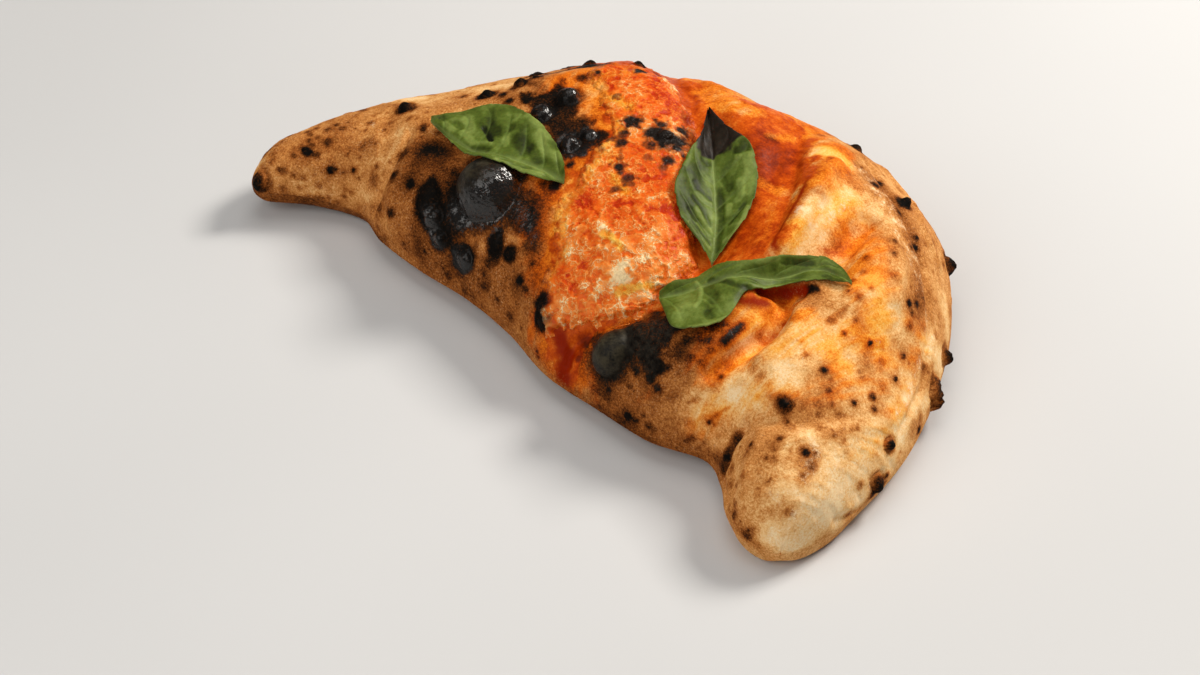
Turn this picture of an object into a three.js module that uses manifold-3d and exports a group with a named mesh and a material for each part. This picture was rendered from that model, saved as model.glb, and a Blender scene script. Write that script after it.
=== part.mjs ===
import * as THREE from "three";
import Module from "manifold-3d";
import { mergeVertices } from "three/addons/utils/BufferGeometryUtils.js";

// All sizes in mm. Z up, flat base on z = 0.
// Each rib crosses the pastry from its folded inner side to its round outer side:
// inner x, inner y, outer x, outer y, height, crest position (-1 inner, 1 outer), lift of the base
const RIBS = [
  [-139, -7.5, -151, 5, 14, 0, 8],
  [-131.2, 0.5, -150, 25, 21, 0, 6.5],
  [-118, 12, -146, 47, 28, -0.1, 4],
  [-102, 21, -136, 72, 36, -0.1, 0],
  [-83, 16, -121, 96, 43, -0.1, 0],
  [-57.6, 15, -102.5, 121, 49.5, 0, 0],
  [-30.5, 16.8, -77, 149, 58, 0.15, 0],
  [-4.3, 14.6, -44.4, 167.5, 62.5, 0.25, 0],
  [23.8, 8.6, -4, 175, 62.5, 0.3, 0],
  [50, 9.8, 42.5, 179.5, 62, 0.3, 0],
  [76, 11.6, 85.5, 169, 58, 0.25, 0],
  [97, 19, 113, 144, 51, 0.1, 0],
  [110, 14, 134, 110, 44, -0.1, 0],
  [119.6, 6, 149, 73, 38, -0.1, 0],
  [127.4, 1.6, 154, 38, 32, 0, 0],
  [139.5, -4, 156.5, 13.5, 26, 0, 0],
];
const PLAN_CENTRE = [2.1358, 86.8978];
const LEFT_CAP = 0.055;
const FRONT_CAP = 0.06;
const EDGE_HEIGHT = 8;
const BODY_RINGS = 62;
const CAP_RINGS = 6;
const TOP_STEPS = 30;
const BASE_STEPS = 9;

// Folds, hollows and ridges of the crust: plan points, heights at them, half width
const FOLDS = [
  // valley behind the tomato and cheese
  [[[-46, 143], [-24, 136], [-3, 120], [14, 107], [38, 85], [50, 68], [53, 51], [47, 38],
    [34, 27], [30, 16], [33, 7]], [-5, -8, -7, -8, -10, -11, -9, -7, -7, -8, -9], 10],
  // pale ridge and the hollow beside it
  [[[46, 145], [60, 119], [67, 99], [71, 81]], [3, 6, 7, 4], 11],
  [[[33, 134], [46, 111], [60, 84]], [-4, -6, -5], 14],
  [[[86, 119], [85, 108], [83, 96], [81, 83]], [-3, -5, -5, -3], 7],
  [[[104, 104], [109, 92]], [4, 3], 11],
  // deep crease behind the front hump
  [[[80, 74], [86, 71], [92, 57], [92, 43], [86, 28]], [-7, -8, -7, -5, -2], 7],
  // stretched band of dough
  [[[86, 22], [103, 46], [112, 74], [113, 102], [96, 123]], [2, 3, 4, 4, 2], 12],
  // creases where the two horns begin
  [[[99, 18], [104, 23], [112, 26], [124, 33]], [-4, -4, -3, -1], 6],
  [[[-111, 49], [-95, 32], [-90, 22], [-89, 17]], [-2, -3, -3, -3], 6],
  // humps under the charred places
  [[[53, 19], [76, 32]], [4, 3], 14],
  [[[-46, 34], [-60, 25]], [3, 2], 18],
  [[[-73, 92], [-53, 113], [-55, 141]], [2, 2, 2], 8],
];

// Burnt bubbles: place along the body (0 left horn, 1 front horn), angle round it
// (0 outer edge, 180 inner edge), radius, height
const BUBBLES = [
  // the two great ones, then the cluster beside the cheese
  [0.392, 131.5, 13.6, 10.2],
  [0.597, 155, 8.4, 5.6],
  [0.415, 85, 5.3, 4.4],
  [0.402, 95, 4.8, 3.8],
  [0.448, 104, 4.4, 3.4],
  [0.458, 98, 3, 2.2],
  // folded inner side, from the left horn to the front horn
  [0.029, 154, 4, 3.4],
  [0.331, 144, 4.2, 2.2],
  [0.343, 150, 4.4, 2.8],
  [0.357, 158, 3.3, 2],
  [0.39, 161, 3.6, 1.8],
  [0.424, 148, 2.8, 1.4],
  [0.447, 148, 2.5, 1.3],
  [0.507, 154, 3.4, 1.6],
  [0.513, 158, 3.6, 1.6],
  [0.646, 150, 3, 1.7],
  [0.814, 118, 3, 1.7],
  // round outer side and the back, from the left horn to the front horn
  [0.24, 83, 3.5, 2.4],
  [0.333, 79, 3.4, 1.8],
  [0.361, 76, 3.2, 2.2],
  [0.36, 60, 3.4, 1.8],
  [0.395, 49, 3.4, 1.6],
  [0.443, 56, 3, 2.4],
  [0.605, 41, 2.8, 2.2],
  [0.661, 44, 2.8, 2.2],
  [0.694, 15, 3.4, 3.2],
  [0.775, 8, 3, 2.6],
  [0.806, 8, 5.6, 5.2],
  [0.876, 32, 2.6, 1.6],
  [0.904, 12, 3.6, 2.4],
];
const LARGE_BUBBLE = 4;

// Melted cheese and tomato, a band from the front lip to the back: left x, left y, right x, right y
const BAND = [
  [19, 14, 46, 36],
  [11, 20, 49, 42],
  [4, 28, 50, 49],
  [-3, 38, 49, 57],
  [-9, 48, 45, 68],
  [-12, 59, 37, 80],
  [-14, 71, 27, 91],
  [-20, 83, 15, 101],
  [-30, 92, 2, 112],
  [-42, 99, -12, 122],
  [-53, 105, -27, 131],
  [-60, 114, -41, 136],
];
const BAND_THICKNESS = 1.7;
const BAND_GAP = 0.35;
const BAND_EDGE = 0.6;
const BAND_LIP = [[[20, 16], [31, 25], [46, 37]], [1.9, 1.9, 1.4], 6];
const BAND_STEPS = [36, 16];
const BAND_BUBBLE = [0.514, 86, 3.2, 2.4];

// Basil leaves: stem and tip in plan, then at even steps between them the lower edge, midrib and upper
// edge as offsets from the straight line between stem and tip; lifts of the tip and of the two edges
const LEAF_THICKNESS = 0.8;
const LEAF_GAP = 1;
const LEAF_STEPS = [20, 6];
const LEAVES = {
  basil_leaf_left: {
    stem: [-14.4, 55.5], tip: [-88.8, 50.7], tipLift: 1.5, edgeLift: [1.2, 0], wave: 0.8,
    rows: [
      [0, 0, 0], [-6.9, 0, 4.3], [-11.7, 0.4, 6], [-14.6, 2, 8.2], [-17, 4.2, 11.5], [-19, 5.8, 11.5],
      [-20.4, 5.6, 8.8], [-19.3, 4.4, 6.4], [-15.5, 3.1, 4.4], [-7.5, 1.6, 2.4], [0, 0, 0],
    ],
  },
  basil_leaf_middle: {
    stem: [53.4, 67.5], tip: [0.1, 120.8], tipLift: 7, edgeLift: [1.2, 1.6], wave: 0.8,
    rows: [
      [0, 0, 0], [-5.2, -0.9, 4], [-11.8, -1.6, 10.6], [-15.2, -2, 13.1], [-17.3, -1.9, 13.6],
      [-18.2, -1.9, 11.5], [-17.3, -1.8, 9.2], [-15.2, -1.7, 6.7], [-9.8, -1.5, 3.2], [-4.9, -0.8, 1.2],
      [0, 0, 0],
    ],
  },
  basil_leaf_front: {
    stem: [48.6, 43.2], tip: [105.3, 88], tipLift: 0.5, edgeLift: [0.6, 1], wave: 0.7,
    rows: [
      [0, 0, 0], [-11.5, 0.3, 3.8], [-20.3, 0.6, 5.8], [-22.8, 0.9, 6.5], [-23, 1.2, 7], [-22.9, 1.6, 9],
      [-22.2, 2, 9.6], [-20.3, 2.3, 8.8], [-15, 2.6, 8.1], [-4.8, 3.2, 8.3], [-1.8, 3.8, 8.6],
      [-0.5, 4.6, 9.4], [1.7, 5.8, 10.9], [3.6, 7, 12.8], [4.5, 8.2, 13.7], [4.4, 9, 14.2],
      [4, 9.1, 14.3], [3.9, 8.8, 14.4], [3.2, 7.4, 12], [1.6, 4.6, 7.8], [0, 0, 0],
    ],
  },
};

// Values of a table of rows at u from 0 to 1, smoothly joined
function rowAt(table, u) {
  const last = table.length - 1;
  const place = Math.min(Math.max(u, 0), 1) * last;
  const i = Math.min(Math.floor(place), last - 1);
  const w = place - i;
  const row = (k) => {
    if (k < 0) return table[0].map((v, c) => 2 * v - table[1][c]);
    if (k > last) return table[last].map((v, c) => 2 * v - table[last - 1][c]);
    return table[k];
  };
  const [a, b, c, d] = [row(i - 1), row(i), row(i + 1), row(i + 2)];
  return b.map((p1, k) => {
    const p2 = c[k];
    const v0 = (p2 - a[k]) / 2;
    const v1 = (d[k] - p1) / 2;
    const cubic = (2 * p1 - 2 * p2 + v0 + v1) * w * w * w;
    return cubic + (-3 * p1 + 3 * p2 - 2 * v0 - v1) * w * w + v0 * w + p1;
  });
}

function capAt(t) {
  const end = t < LEFT_CAP ? t / LEFT_CAP : t > 1 - FRONT_CAP ? (1 - t) / FRONT_CAP : 1;
  return Math.sqrt(Math.max(0, 1 - (1 - end) ** 2));
}

function smooth(a, b, x) {
  const t = Math.min(Math.max((x - a) / (b - a), 0), 1);
  return t * t * (3 - 2 * t);
}

// Height of the nearest place on a plan path, faded with the distance from it
function pathHeight(x, y, [points, heights, width]) {
  let best = Infinity;
  let out = 0;
  for (let i = 0; i + 1 < points.length; i++) {
    const [ax, ay] = points[i];
    const dx = points[i + 1][0] - ax;
    const dy = points[i + 1][1] - ay;
    const along = ((x - ax) * dx + (y - ay) * dy) / (dx * dx + dy * dy);
    const u = Math.min(Math.max(along, 0), 1);
    const away = (x - ax - u * dx) ** 2 + (y - ay - u * dy) ** 2;
    if (away < best) {
      best = away;
      out = (heights[i] + (heights[i + 1] - heights[i]) * u) * Math.exp(-away / width ** 2);
    }
  }
  return out;
}

function relief(x, y) {
  const folds = FOLDS.reduce((sum, fold) => sum + pathHeight(x, y, fold), 0);
  const swell = 0.55 * Math.sin(x * 0.085 + 1.3) * Math.sin(y * 0.1 + 0.4);
  return folds + swell + 0.35 * Math.sin(x * 0.17 - y * 0.13);
}

// Point of the crust at t along the body and angle phi round it
function crustPoint(t, phi) {
  const [ix, iy, ox, oy, height, crest, rise] = rowAt(RIBS, t);
  const cap = capAt(t);
  const s = Math.cos(phi);
  const x = (ix + ox) / 2 + ((ox - ix) / 2) * s * cap;
  const y = (iy + oy) / 2 + ((oy - iy) / 2) * s * cap;
  const edge = Math.min(EDGE_HEIGHT, height * 0.35);
  const lift = Math.max(rise, 0);
  if (Math.sin(phi) < 0) {
    const under = edge * Math.min(Math.max((Math.abs(s) - 0.75) / 0.25, 0), 1) ** 2.2;
    return new THREE.Vector3(x, y, lift + edge - (edge - under) * Math.sqrt(cap));
  }
  const ui = Math.min(Math.max((crest - s) / (1 + crest), 0), 1);
  const uo = Math.min(Math.max((s - crest) / (1 - crest), 0), 1);
  const round = s < crest ? (1 - ui ** 2.3) ** 0.5 : (1 - uo ** 2.2) ** (1 / 1.7);
  const form = relief(x, y) * smooth(0.05, 0.55, Math.sin(phi));
  return new THREE.Vector3(x, y, lift + edge + (height - edge) * round * cap + form);
}

function crustNormal(t, phi) {
  const mid = Math.min(Math.max(t, 0.006), 0.994);
  const along = crustPoint(mid + 0.002, phi).sub(crustPoint(mid - 0.002, phi));
  const round = crustPoint(mid, phi + 0.02).sub(crustPoint(mid, phi - 0.02));
  return along.cross(round).normalize().negate();
}

function geometryOf(points, faces) {
  const geometry = new THREE.BufferGeometry();
  geometry.setAttribute("position", new THREE.Float32BufferAttribute(points.flatMap((p) => [p.x, p.y, p.z]), 3));
  geometry.setIndex(faces.flat());
  return geometry;
}

function ringPlaces() {
  const places = [];
  for (let i = 1; i <= CAP_RINGS; i++) places.push(LEFT_CAP * (1 - Math.cos((i / CAP_RINGS) * Math.PI / 2)));
  for (let i = 1; i < BODY_RINGS; i++) {
    places.push(LEFT_CAP + (1 - LEFT_CAP - FRONT_CAP) * (i / BODY_RINGS));
  }
  for (let i = CAP_RINGS; i >= 1; i--) places.push(1 - FRONT_CAP * (1 - Math.cos((i / CAP_RINGS) * Math.PI / 2)));
  return places;
}

function ringAngles() {
  const angles = [];
  for (let j = 0; j < TOP_STEPS; j++) angles.push((Math.PI * j) / TOP_STEPS);
  for (let j = 0; j < BASE_STEPS; j++) angles.push(Math.PI * (1 + j / BASE_STEPS));
  return angles;
}

// Closed skin of the crust, pushed outwards by offset
function crustShell(offset) {
  const places = ringPlaces();
  const angles = ringAngles();
  const at = (t, phi) => crustPoint(t, phi).addScaledVector(crustNormal(t, phi), offset);
  const points = places.flatMap((t) => angles.map((phi) => at(t, phi)));
  const n = angles.length;
  const first = points.push(crustPoint(0, 0)) - 1;
  const last = points.push(crustPoint(1, 0)) - 1;
  const faces = [];
  for (let j = 0; j < n; j++) {
    const k = (j + 1) % n;
    faces.push([first, k, j]);
    for (let i = 0; i + 1 < places.length; i++) {
      const a = i * n + j;
      const b = i * n + k;
      faces.push([a, b, b + n], [a, b + n, a + n]);
    }
    faces.push([last, (places.length - 1) * n + j, (places.length - 1) * n + k]);
  }
  return geometryOf(points, faces);
}

// Ball whose cap stands height above the surface on a round of the given radius
function bubble([t, degrees, radius, height], offset, base) {
  const phi = (degrees * Math.PI) / 180;
  const ball = (radius * radius + height * height) / (2 * height);
  const centre = crustPoint(t, phi).addScaledVector(crustNormal(t, phi), height - ball + base);
  const detail = radius >= LARGE_BUBBLE ? 3 : 1;
  const geometry = new THREE.IcosahedronGeometry(ball + offset, detail);
  geometry.deleteAttribute("normal");
  geometry.deleteAttribute("uv");
  geometry.translate(centre.x, centre.y, centre.z);
  return { geometry: mergeVertices(geometry, 1e-4), centre, ball: ball + offset };
}

function bandPlan(u, v) {
  const [lx, ly, rx, ry] = rowAt(BAND, u);
  const shrink = 1 - 0.22 * smooth(0.86, 1.04, u);
  const w = 0.5 + (v - 0.5) * shrink;
  const waver = 0.02 * Math.sin(u * 31) + 0.013 * Math.sin(u * 57 + 2);
  return [lx + (rx - lx) * (w + waver), ly + (ry - ly) * (w + waver)];
}

// Height of the band over the crust: full inside, thin at its edge
function bandOffset(x, y, u, v) {
  const waves = 0.3 * Math.sin(0.42 * x + 0.2 * y) * Math.sin(0.37 * y - 0.1 * x);
  const full = BAND_THICKNESS + waves + pathHeight(x, y, BAND_LIP);
  const inner = Math.min(smooth(0, 0.08, Math.min(v, 1 - v)), smooth(0, 0.035, Math.min(u, 1 - u)));
  return BAND_GAP + BAND_EDGE + (full - BAND_EDGE) * inner;
}

function gridPlaces(steps, rim) {
  const inner = Array.from({ length: steps - 1 }, (_, k) => k / (steps - 2));
  return [-rim, ...inner, 1 + rim];
}

// Block that follows the crust and dips under it just outside the band's edge
function bandBlock() {
  const [rows, columns] = BAND_STEPS;
  const outer = [];
  const inner = [];
  for (const u of gridPlaces(rows, 0.014)) {
    for (const v of gridPlaces(columns, 0.04)) {
      const [x, y] = bandPlan(u, v);
      const rim = u < 0 || u > 1 || v < 0 || v > 1;
      const [t, s] = locate(x, y);
      const phi = Math.acos(s);
      const point = crustPoint(t, phi);
      const normal = crustNormal(t, phi);
      outer.push(point.clone().addScaledVector(normal, rim ? -1.5 : bandOffset(x, y, u, v)));
      inner.push(point.addScaledVector(normal, -4));
    }
  }
  return closedSheet(outer, inner, rows, columns);
}

// How far a plan point lies inside the band, as a share of its width
function bandCover(x, y) {
  let best = -1;
  for (let k = 0; k <= 60; k++) {
    const [lx, ly] = bandPlan(k / 60, 0);
    const [rx, ry] = bandPlan(k / 60, 1);
    const dx = rx - lx;
    const dy = ry - ly;
    const v = ((x - lx) * dx + (y - ly) * dy) / (dx * dx + dy * dy);
    const off = Math.abs((x - lx) * dy - (y - ly) * dx) / Math.hypot(dx, dy);
    if (off < 2.5 && v > -0.08 && v < 1.08) best = Math.max(best, bandOffset(x, y, k / 60, v));
  }
  return best;
}

// Solid between two grids of points with the same layout, outer first
function closedSheet(outer, inner, rows, columns) {
  const size = outer.length;
  const at = (i, j) => i * (columns + 1) + j;
  const faces = [];
  const quad = (a, b, c, d) => faces.push([a, b, c], [a, c, d]);
  for (let i = 0; i < rows; i++) {
    for (let j = 0; j < columns; j++) {
      const [a, b, c, d] = [at(i, j), at(i, j + 1), at(i + 1, j + 1), at(i + 1, j)];
      quad(a, b, c, d);
      faces.push([a + size, c + size, b + size], [a + size, d + size, c + size]);
    }
  }
  for (let i = 0; i < rows; i++) {
    quad(at(i, 0), at(i + 1, 0), at(i + 1, 0) + size, at(i, 0) + size);
    quad(at(i + 1, columns), at(i, columns), at(i, columns) + size, at(i + 1, columns) + size);
  }
  for (let j = 0; j < columns; j++) {
    quad(at(0, j + 1), at(0, j), at(0, j) + size, at(0, j + 1) + size);
    quad(at(rows, j), at(rows, j + 1), at(rows, j + 1) + size, at(rows, j) + size);
  }
  return geometryOf([...outer, ...inner], faces);
}

// Place along the body whose rib runs through a plan point
function locate(x, y) {
  const side = (t) => {
    const [ix, iy, ox, oy] = rowAt(RIBS, t);
    return (ox - ix) * (y - iy) - (oy - iy) * (x - ix);
  };
  let low = 0.06;
  let high = 0.94;
  for (let k = 0; k < 40; k++) {
    const mid = (low + high) / 2;
    if (side(mid) > 0) high = mid;
    else low = mid;
  }
  const t = (low + high) / 2;
  const [ix, iy, ox, oy] = rowAt(RIBS, t);
  const along = ((x - (ix + ox) / 2) * (ox - ix) + (y - (iy + oy) / 2) * (oy - iy)) * 2;
  return [t, along / ((ox - ix) ** 2 + (oy - iy) ** 2)];
}

// Highest surface under a plan point, with the topping and the bubbles
function surfaceHeight(x, y, bubbles) {
  const [t, s] = locate(x, y);
  const phi = Math.acos(Math.min(Math.max(s, -1), 1));
  let z = crustPoint(t, phi).z + Math.max(bandCover(x, y), 0) * 1.15;
  bubbles.forEach(({ centre, ball }) => {
    const away = (x - centre.x) ** 2 + (y - centre.y) ** 2;
    if (away < ball * ball) z = Math.max(z, centre.z + Math.sqrt(ball * ball - away));
  });
  return z;
}

function leafOutline(leaf) {
  const [rows, columns] = LEAF_STEPS;
  const [sx, sy] = leaf.stem;
  const dx = leaf.tip[0] - sx;
  const dy = leaf.tip[1] - sy;
  const length = Math.hypot(dx, dy);
  const points = [];
  for (let i = 0; i <= rows; i++) {
    const u = 0.01 + (0.98 * (1 - Math.cos((Math.PI * i) / rows))) / 2;
    const [lower, middle, upper] = rowAt(leaf.rows, u);
    for (let j = 0; j <= columns; j++) {
      const v = (2 * j) / columns - 1;
      const half = (v < 0 ? middle - lower : upper - middle) + 0.4;
      const aside = middle + v * half;
      const x = sx + dx * u - (dy / length) * aside;
      const y = sy + dy * u + (dx / length) * aside;
      points.push({ x, y, u, v });
    }
  }
  return points;
}

// Leaf sheet laid over the surface: it bridges hollows and rests on what stands up
function leafSolid(leaf, bubbles) {
  const [rows, columns] = LEAF_STEPS;
  const points = leafOutline(leaf);
  const floor = points.map((p) => surfaceHeight(p.x, p.y, bubbles) + LEAF_GAP);
  let heights = floor.slice();
  for (let pass = 0; pass < 12; pass++) {
    heights = heights.map((z, n) => {
      const i = Math.floor(n / (columns + 1));
      const j = n % (columns + 1);
      const near = [z];
      if (i > 0) near.push(heights[n - columns - 1]);
      if (i < rows) near.push(heights[n + columns + 1]);
      if (j > 0) near.push(heights[n - 1]);
      if (j < columns) near.push(heights[n + 1]);
      return Math.max(floor[n], near.reduce((a, b) => a + b, 0) / near.length);
    });
  }
  const under = points.map((p, n) => {
    const edge = leaf.edgeLift[p.v < 0 ? 0 : 1] * p.v * p.v;
    const wave = leaf.wave * (1 + Math.sin(p.u * 17 + p.v * 2)) * Math.abs(p.v);
    return new THREE.Vector3(p.x, p.y, heights[n] + leaf.tipLift * p.u ** 3 + edge + wave);
  });
  const over = under.map((p) => new THREE.Vector3(p.x, p.y, p.z + LEAF_THICKNESS));
  return closedSheet(under, over, rows, columns);
}

const wasm = await Module();
wasm.setup();

function toSolid(geometry) {
  const mesh = new wasm.Mesh({
    numProp: 3,
    vertProperties: new Float32Array(geometry.attributes.position.array),
    triVerts: new Uint32Array(geometry.index.array),
  });
  return new wasm.Manifold(mesh);
}

function largestPart(solid) {
  return solid.decompose().sort((a, b) => b.volume() - a.volume())[0];
}

function fromSolid(solid) {
  const mesh = solid.getMesh();
  const geometry = new THREE.BufferGeometry();
  geometry.setAttribute("position", new THREE.Float32BufferAttribute(mesh.vertProperties, 3));
  geometry.setIndex(Array.from(mesh.triVerts));
  return geometry;
}

function crustSolid(offset) {
  const balls = BUBBLES.map((row) => toSolid(bubble(row, offset, 0).geometry));
  return balls.reduce((sum, ball) => sum.add(ball), toSolid(crustShell(offset)));
}

function toppingSolid() {
  const bump = toSolid(bubble(BAND_BUBBLE, 0, BAND_THICKNESS).geometry);
  const block = toSolid(bandBlock()).add(bump);
  return largestPart(block.subtract(crustSolid(BAND_GAP)));
}

function outward(geometry) {
  const index = geometry.index.array;
  const position = geometry.attributes.position;
  const corner = (n) => new THREE.Vector3().fromBufferAttribute(position, n);
  let volume = 0;
  for (let k = 0; k < index.length; k += 3) {
    volume += corner(index[k]).dot(corner(index[k + 1]).cross(corner(index[k + 2])));
  }
  if (volume < 0) {
    for (let k = 0; k < index.length; k += 3) [index[k], index[k + 1]] = [index[k + 1], index[k]];
  }
  return geometry;
}

function addNode(group, name, geometry, colour, roughness) {
  const material = new THREE.MeshStandardMaterial({ color: colour, roughness, metalness: 0 });
  material.name = name;
  geometry.translate(-PLAN_CENTRE[0], -PLAN_CENTRE[1], 0);
  geometry.computeVertexNormals();
  const mesh = new THREE.Mesh(geometry, material);
  mesh.name = name;
  group.add(mesh);
}

const calzone = new THREE.Group();
calzone.name = "calzone";
addNode(calzone, "crust", fromSolid(crustSolid(0)), 0xc98a52, 0.75);
addNode(calzone, "topping", fromSolid(toppingSolid()), 0xd9622b, 0.4);
const standing = BUBBLES.map((row) => bubble(row, 0, 0));
standing.push(bubble(BAND_BUBBLE, 0, BAND_THICKNESS));
for (const [name, leaf] of Object.entries(LEAVES)) {
  addNode(calzone, name, outward(leafSolid(leaf, standing)), 0x4c7a2c, 0.5);
}

export default calzone;
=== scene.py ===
import math

import bpy
import numpy as np
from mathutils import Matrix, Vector
from mathutils.bvhtree import BVHTree
from mathutils.kdtree import KDTree


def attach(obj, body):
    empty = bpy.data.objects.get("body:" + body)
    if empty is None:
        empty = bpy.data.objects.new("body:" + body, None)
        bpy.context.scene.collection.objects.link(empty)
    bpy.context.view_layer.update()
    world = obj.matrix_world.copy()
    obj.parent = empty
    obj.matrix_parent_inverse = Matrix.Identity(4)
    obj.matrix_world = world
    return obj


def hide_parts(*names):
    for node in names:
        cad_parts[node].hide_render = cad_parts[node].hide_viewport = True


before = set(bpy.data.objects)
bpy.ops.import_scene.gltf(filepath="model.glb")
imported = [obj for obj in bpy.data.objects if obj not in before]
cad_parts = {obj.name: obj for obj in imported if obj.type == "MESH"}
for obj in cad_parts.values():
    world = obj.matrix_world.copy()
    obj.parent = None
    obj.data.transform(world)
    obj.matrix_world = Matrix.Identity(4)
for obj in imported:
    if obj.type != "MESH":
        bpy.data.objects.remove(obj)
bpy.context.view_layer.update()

# Lengths are in mm in the CAD source's plan coordinates, and become metres of the frame at the end.
PLAN_CENTRE = np.array([2.1358, 86.8978, 0.0])
MM = 0.001
SEED = 20

# Camera: what it looks at, how far away it is and from where, its lens and sensor width in mm, and the
# picture's size and focal length in pixels
TARGET = np.array([15.7, 45.0, 0.0])
DISTANCE = 926.4
AZIMUTH = math.radians(45.40)
ELEVATION = math.radians(42.58)
LENS = 70.0
SENSOR_WIDTH = 36
PHOTO_WIDTH = 1200
PHOTO_HEIGHT = 675
FOCAL = LENS / SENSOR_WIDTH * PHOTO_WIDTH

# Crust: inner x, inner y, outer x, outer y, height, crest position, lift of the base
RIBS = np.array([
    (-139, -7.5, -151, 5, 14, 0, 8),
    (-131.2, 0.5, -150, 25, 21, 0, 6.5),
    (-118, 12, -146, 47, 28, -0.1, 4),
    (-102, 21, -136, 72, 36, -0.1, 0),
    (-83, 16, -121, 96, 43, -0.1, 0),
    (-57.6, 15, -102.5, 121, 49.5, 0, 0),
    (-30.5, 16.8, -77, 149, 58, 0.15, 0),
    (-4.3, 14.6, -44.4, 167.5, 62.5, 0.25, 0),
    (23.8, 8.6, -4, 175, 62.5, 0.3, 0),
    (50, 9.8, 42.5, 179.5, 62, 0.3, 0),
    (76, 11.6, 85.5, 169, 58, 0.25, 0),
    (97, 19, 113, 144, 51, 0.1, 0),
    (110, 14, 134, 110, 44, -0.1, 0),
    (119.6, 6, 149, 73, 38, -0.1, 0),
    (127.4, 1.6, 154, 38, 32, 0, 0),
    (139.5, -4, 156.5, 13.5, 26, 0, 0),
], float)
# Parts of the length that are rounded off at the two ends, sizes in mm, and points of the crust's grid
LEFT_CAP = 0.055
FRONT_CAP = 0.06
EDGE_HEIGHT = 8
BODY_LENGTH = 380.0
RINGS = 540
CAP_RINGS = 36
TOP_STEPS = 290
BASE_STEPS = 60

# Folds, hollows and ridges: plan points, heights at them, half width
FOLDS = [
    ([(-46, 143), (-24, 136), (-3, 120), (14, 107), (38, 85), (50, 68), (53, 51), (47, 38), (34, 27),
      (30, 16), (33, 7)], (-5, -8, -7, -8, -10, -11, -9, -7, -7, -8, -9), 10),
    ([(46, 145), (60, 119), (67, 99), (71, 81)], (3, 6, 7, 4), 11),
    ([(33, 134), (46, 111), (60, 84)], (-4, -6, -5), 14),
    ([(86, 119), (85, 108), (83, 96), (81, 83)], (-3, -5, -5, -3), 7),
    ([(104, 104), (109, 92)], (4, 3), 11),
    ([(80, 74), (86, 71), (92, 57), (92, 43), (86, 28)], (-7, -8, -7, -5, -2), 7),
    ([(86, 22), (103, 46), (112, 74), (113, 102), (96, 123)], (2, 3, 4, 4, 2), 12),
    ([(99, 18), (104, 23), (112, 26), (124, 33)], (-4, -4, -3, -1), 6),
    ([(-111, 49), (-95, 32), (-90, 22), (-89, 17)], (-2, -3, -3, -3), 6),
    ([(53, 19), (76, 32)], (4, 3), 14),
    ([(-46, 34), (-60, 25)], (3, 2), 18),
    ([(-73, 92), (-53, 113), (-55, 141)], (2, 2, 2), 8),
]

# Burnt bubbles: place along the body, angle round it (0 outer, 180 inner), radius, height,
# stretch round the body, cragginess
BUBBLES = [
    (0.392, 131.5, 13.6, 10.2, 1.05, 0.1), (0.597, 155, 8.0, 5.6, 1.28, 0.1),
    (0.415, 85, 5.3, 4.4, 1.0, 0.3), (0.402, 95, 4.8, 3.8, 1.1, 0.5), (0.448, 104, 4.4, 3.4, 1.0, 0.5),
    (0.458, 98, 3, 2.2, 1.0, 0.5), (0.029, 154, 4, 3.4, 1.2, 1.2), (0.331, 144, 4.2, 2.2, 1.5, 0.8),
    (0.343, 150, 4.4, 2.8, 1.1, 0.7), (0.357, 158, 3.3, 2, 1.0, 0.8), (0.39, 161, 3.6, 1.8, 1.1, 1.0),
    (0.424, 148, 2.8, 1.2, 1.6, 1.0), (0.447, 148, 2.5, 1.1, 1.0, 0.8), (0.507, 154, 2.6, 1.1, 1.3, 1.0),
    (0.513, 158, 2.8, 1.1, 1.3, 1.0), (0.646, 150, 3, 1.1, 0.65, 0.6), (0.814, 118, 3.0, 1.7, 0.8, 0.8),
    (0.24, 83, 3.5, 2.2, 1.0, 0.8), (0.333, 79, 3.4, 1.8, 1.0, 1.5), (0.361, 76, 3.2, 2.2, 1.0, 1.5),
    (0.36, 60, 3.4, 1.8, 1.0, 1.5), (0.395, 49, 3.4, 1.6, 1.0, 1.5), (0.443, 56, 3, 2.4, 1.0, 1.2),
    (0.605, 41, 2.8, 2.2, 1.0, 0.2), (0.661, 44, 2.8, 2.2, 1.0, 1.0), (0.694, 15, 3.4, 3.2, 1.4, 1.0),
    (0.775, 8, 3, 2.6, 1.3, 1.4), (0.811, 8, 5.6, 5.2, 1.2, 1.8), (0.876, 32, 2.6, 1.6, 1.1, 1.0),
    (0.904, 12, 3.6, 2.4, 1.3, 1.4),
]

# Regions of the crust: x and y of each corner, in pixels of the 1200 x 675 picture, carried onto the surface
SAUCE = (
    600, 62, 640, 60, 668, 70, 700, 88, 735, 98, 770, 108, 796, 122, 814, 146, 818, 168, 803, 186, 796, 206,
    782, 232, 774, 258, 786, 282, 780, 300, 745, 300, 706, 330, 672, 312, 640, 318, 606, 326, 585, 344, 572,
    388, 554, 380, 545, 330, 552, 250, 562, 190, 590, 160, 608, 130, 612, 95
)
CHAR_CLUSTER = (
    520, 92, 538, 92, 552, 84, 566, 80, 586, 90, 585, 112, 600, 120, 610, 134, 600, 148, 584, 154, 574, 166,
    560, 160, 546, 140, 528, 118, 518, 106
)
CHAR_FRONT = (
    590, 330, 612, 326, 634, 312, 666, 304, 690, 318, 724, 316, 732, 326, 716, 342, 700, 350, 684, 346, 670,
    360, 656, 380, 640, 372, 628, 380, 606, 390, 586, 372
)
CHAR_LEFT = (
    452, 150, 470, 146, 500, 160, 520, 180, 536, 196, 546, 214, 540, 236, 522, 238, 500, 234, 484, 236, 462,
    222, 448, 196, 446, 170
)

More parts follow.
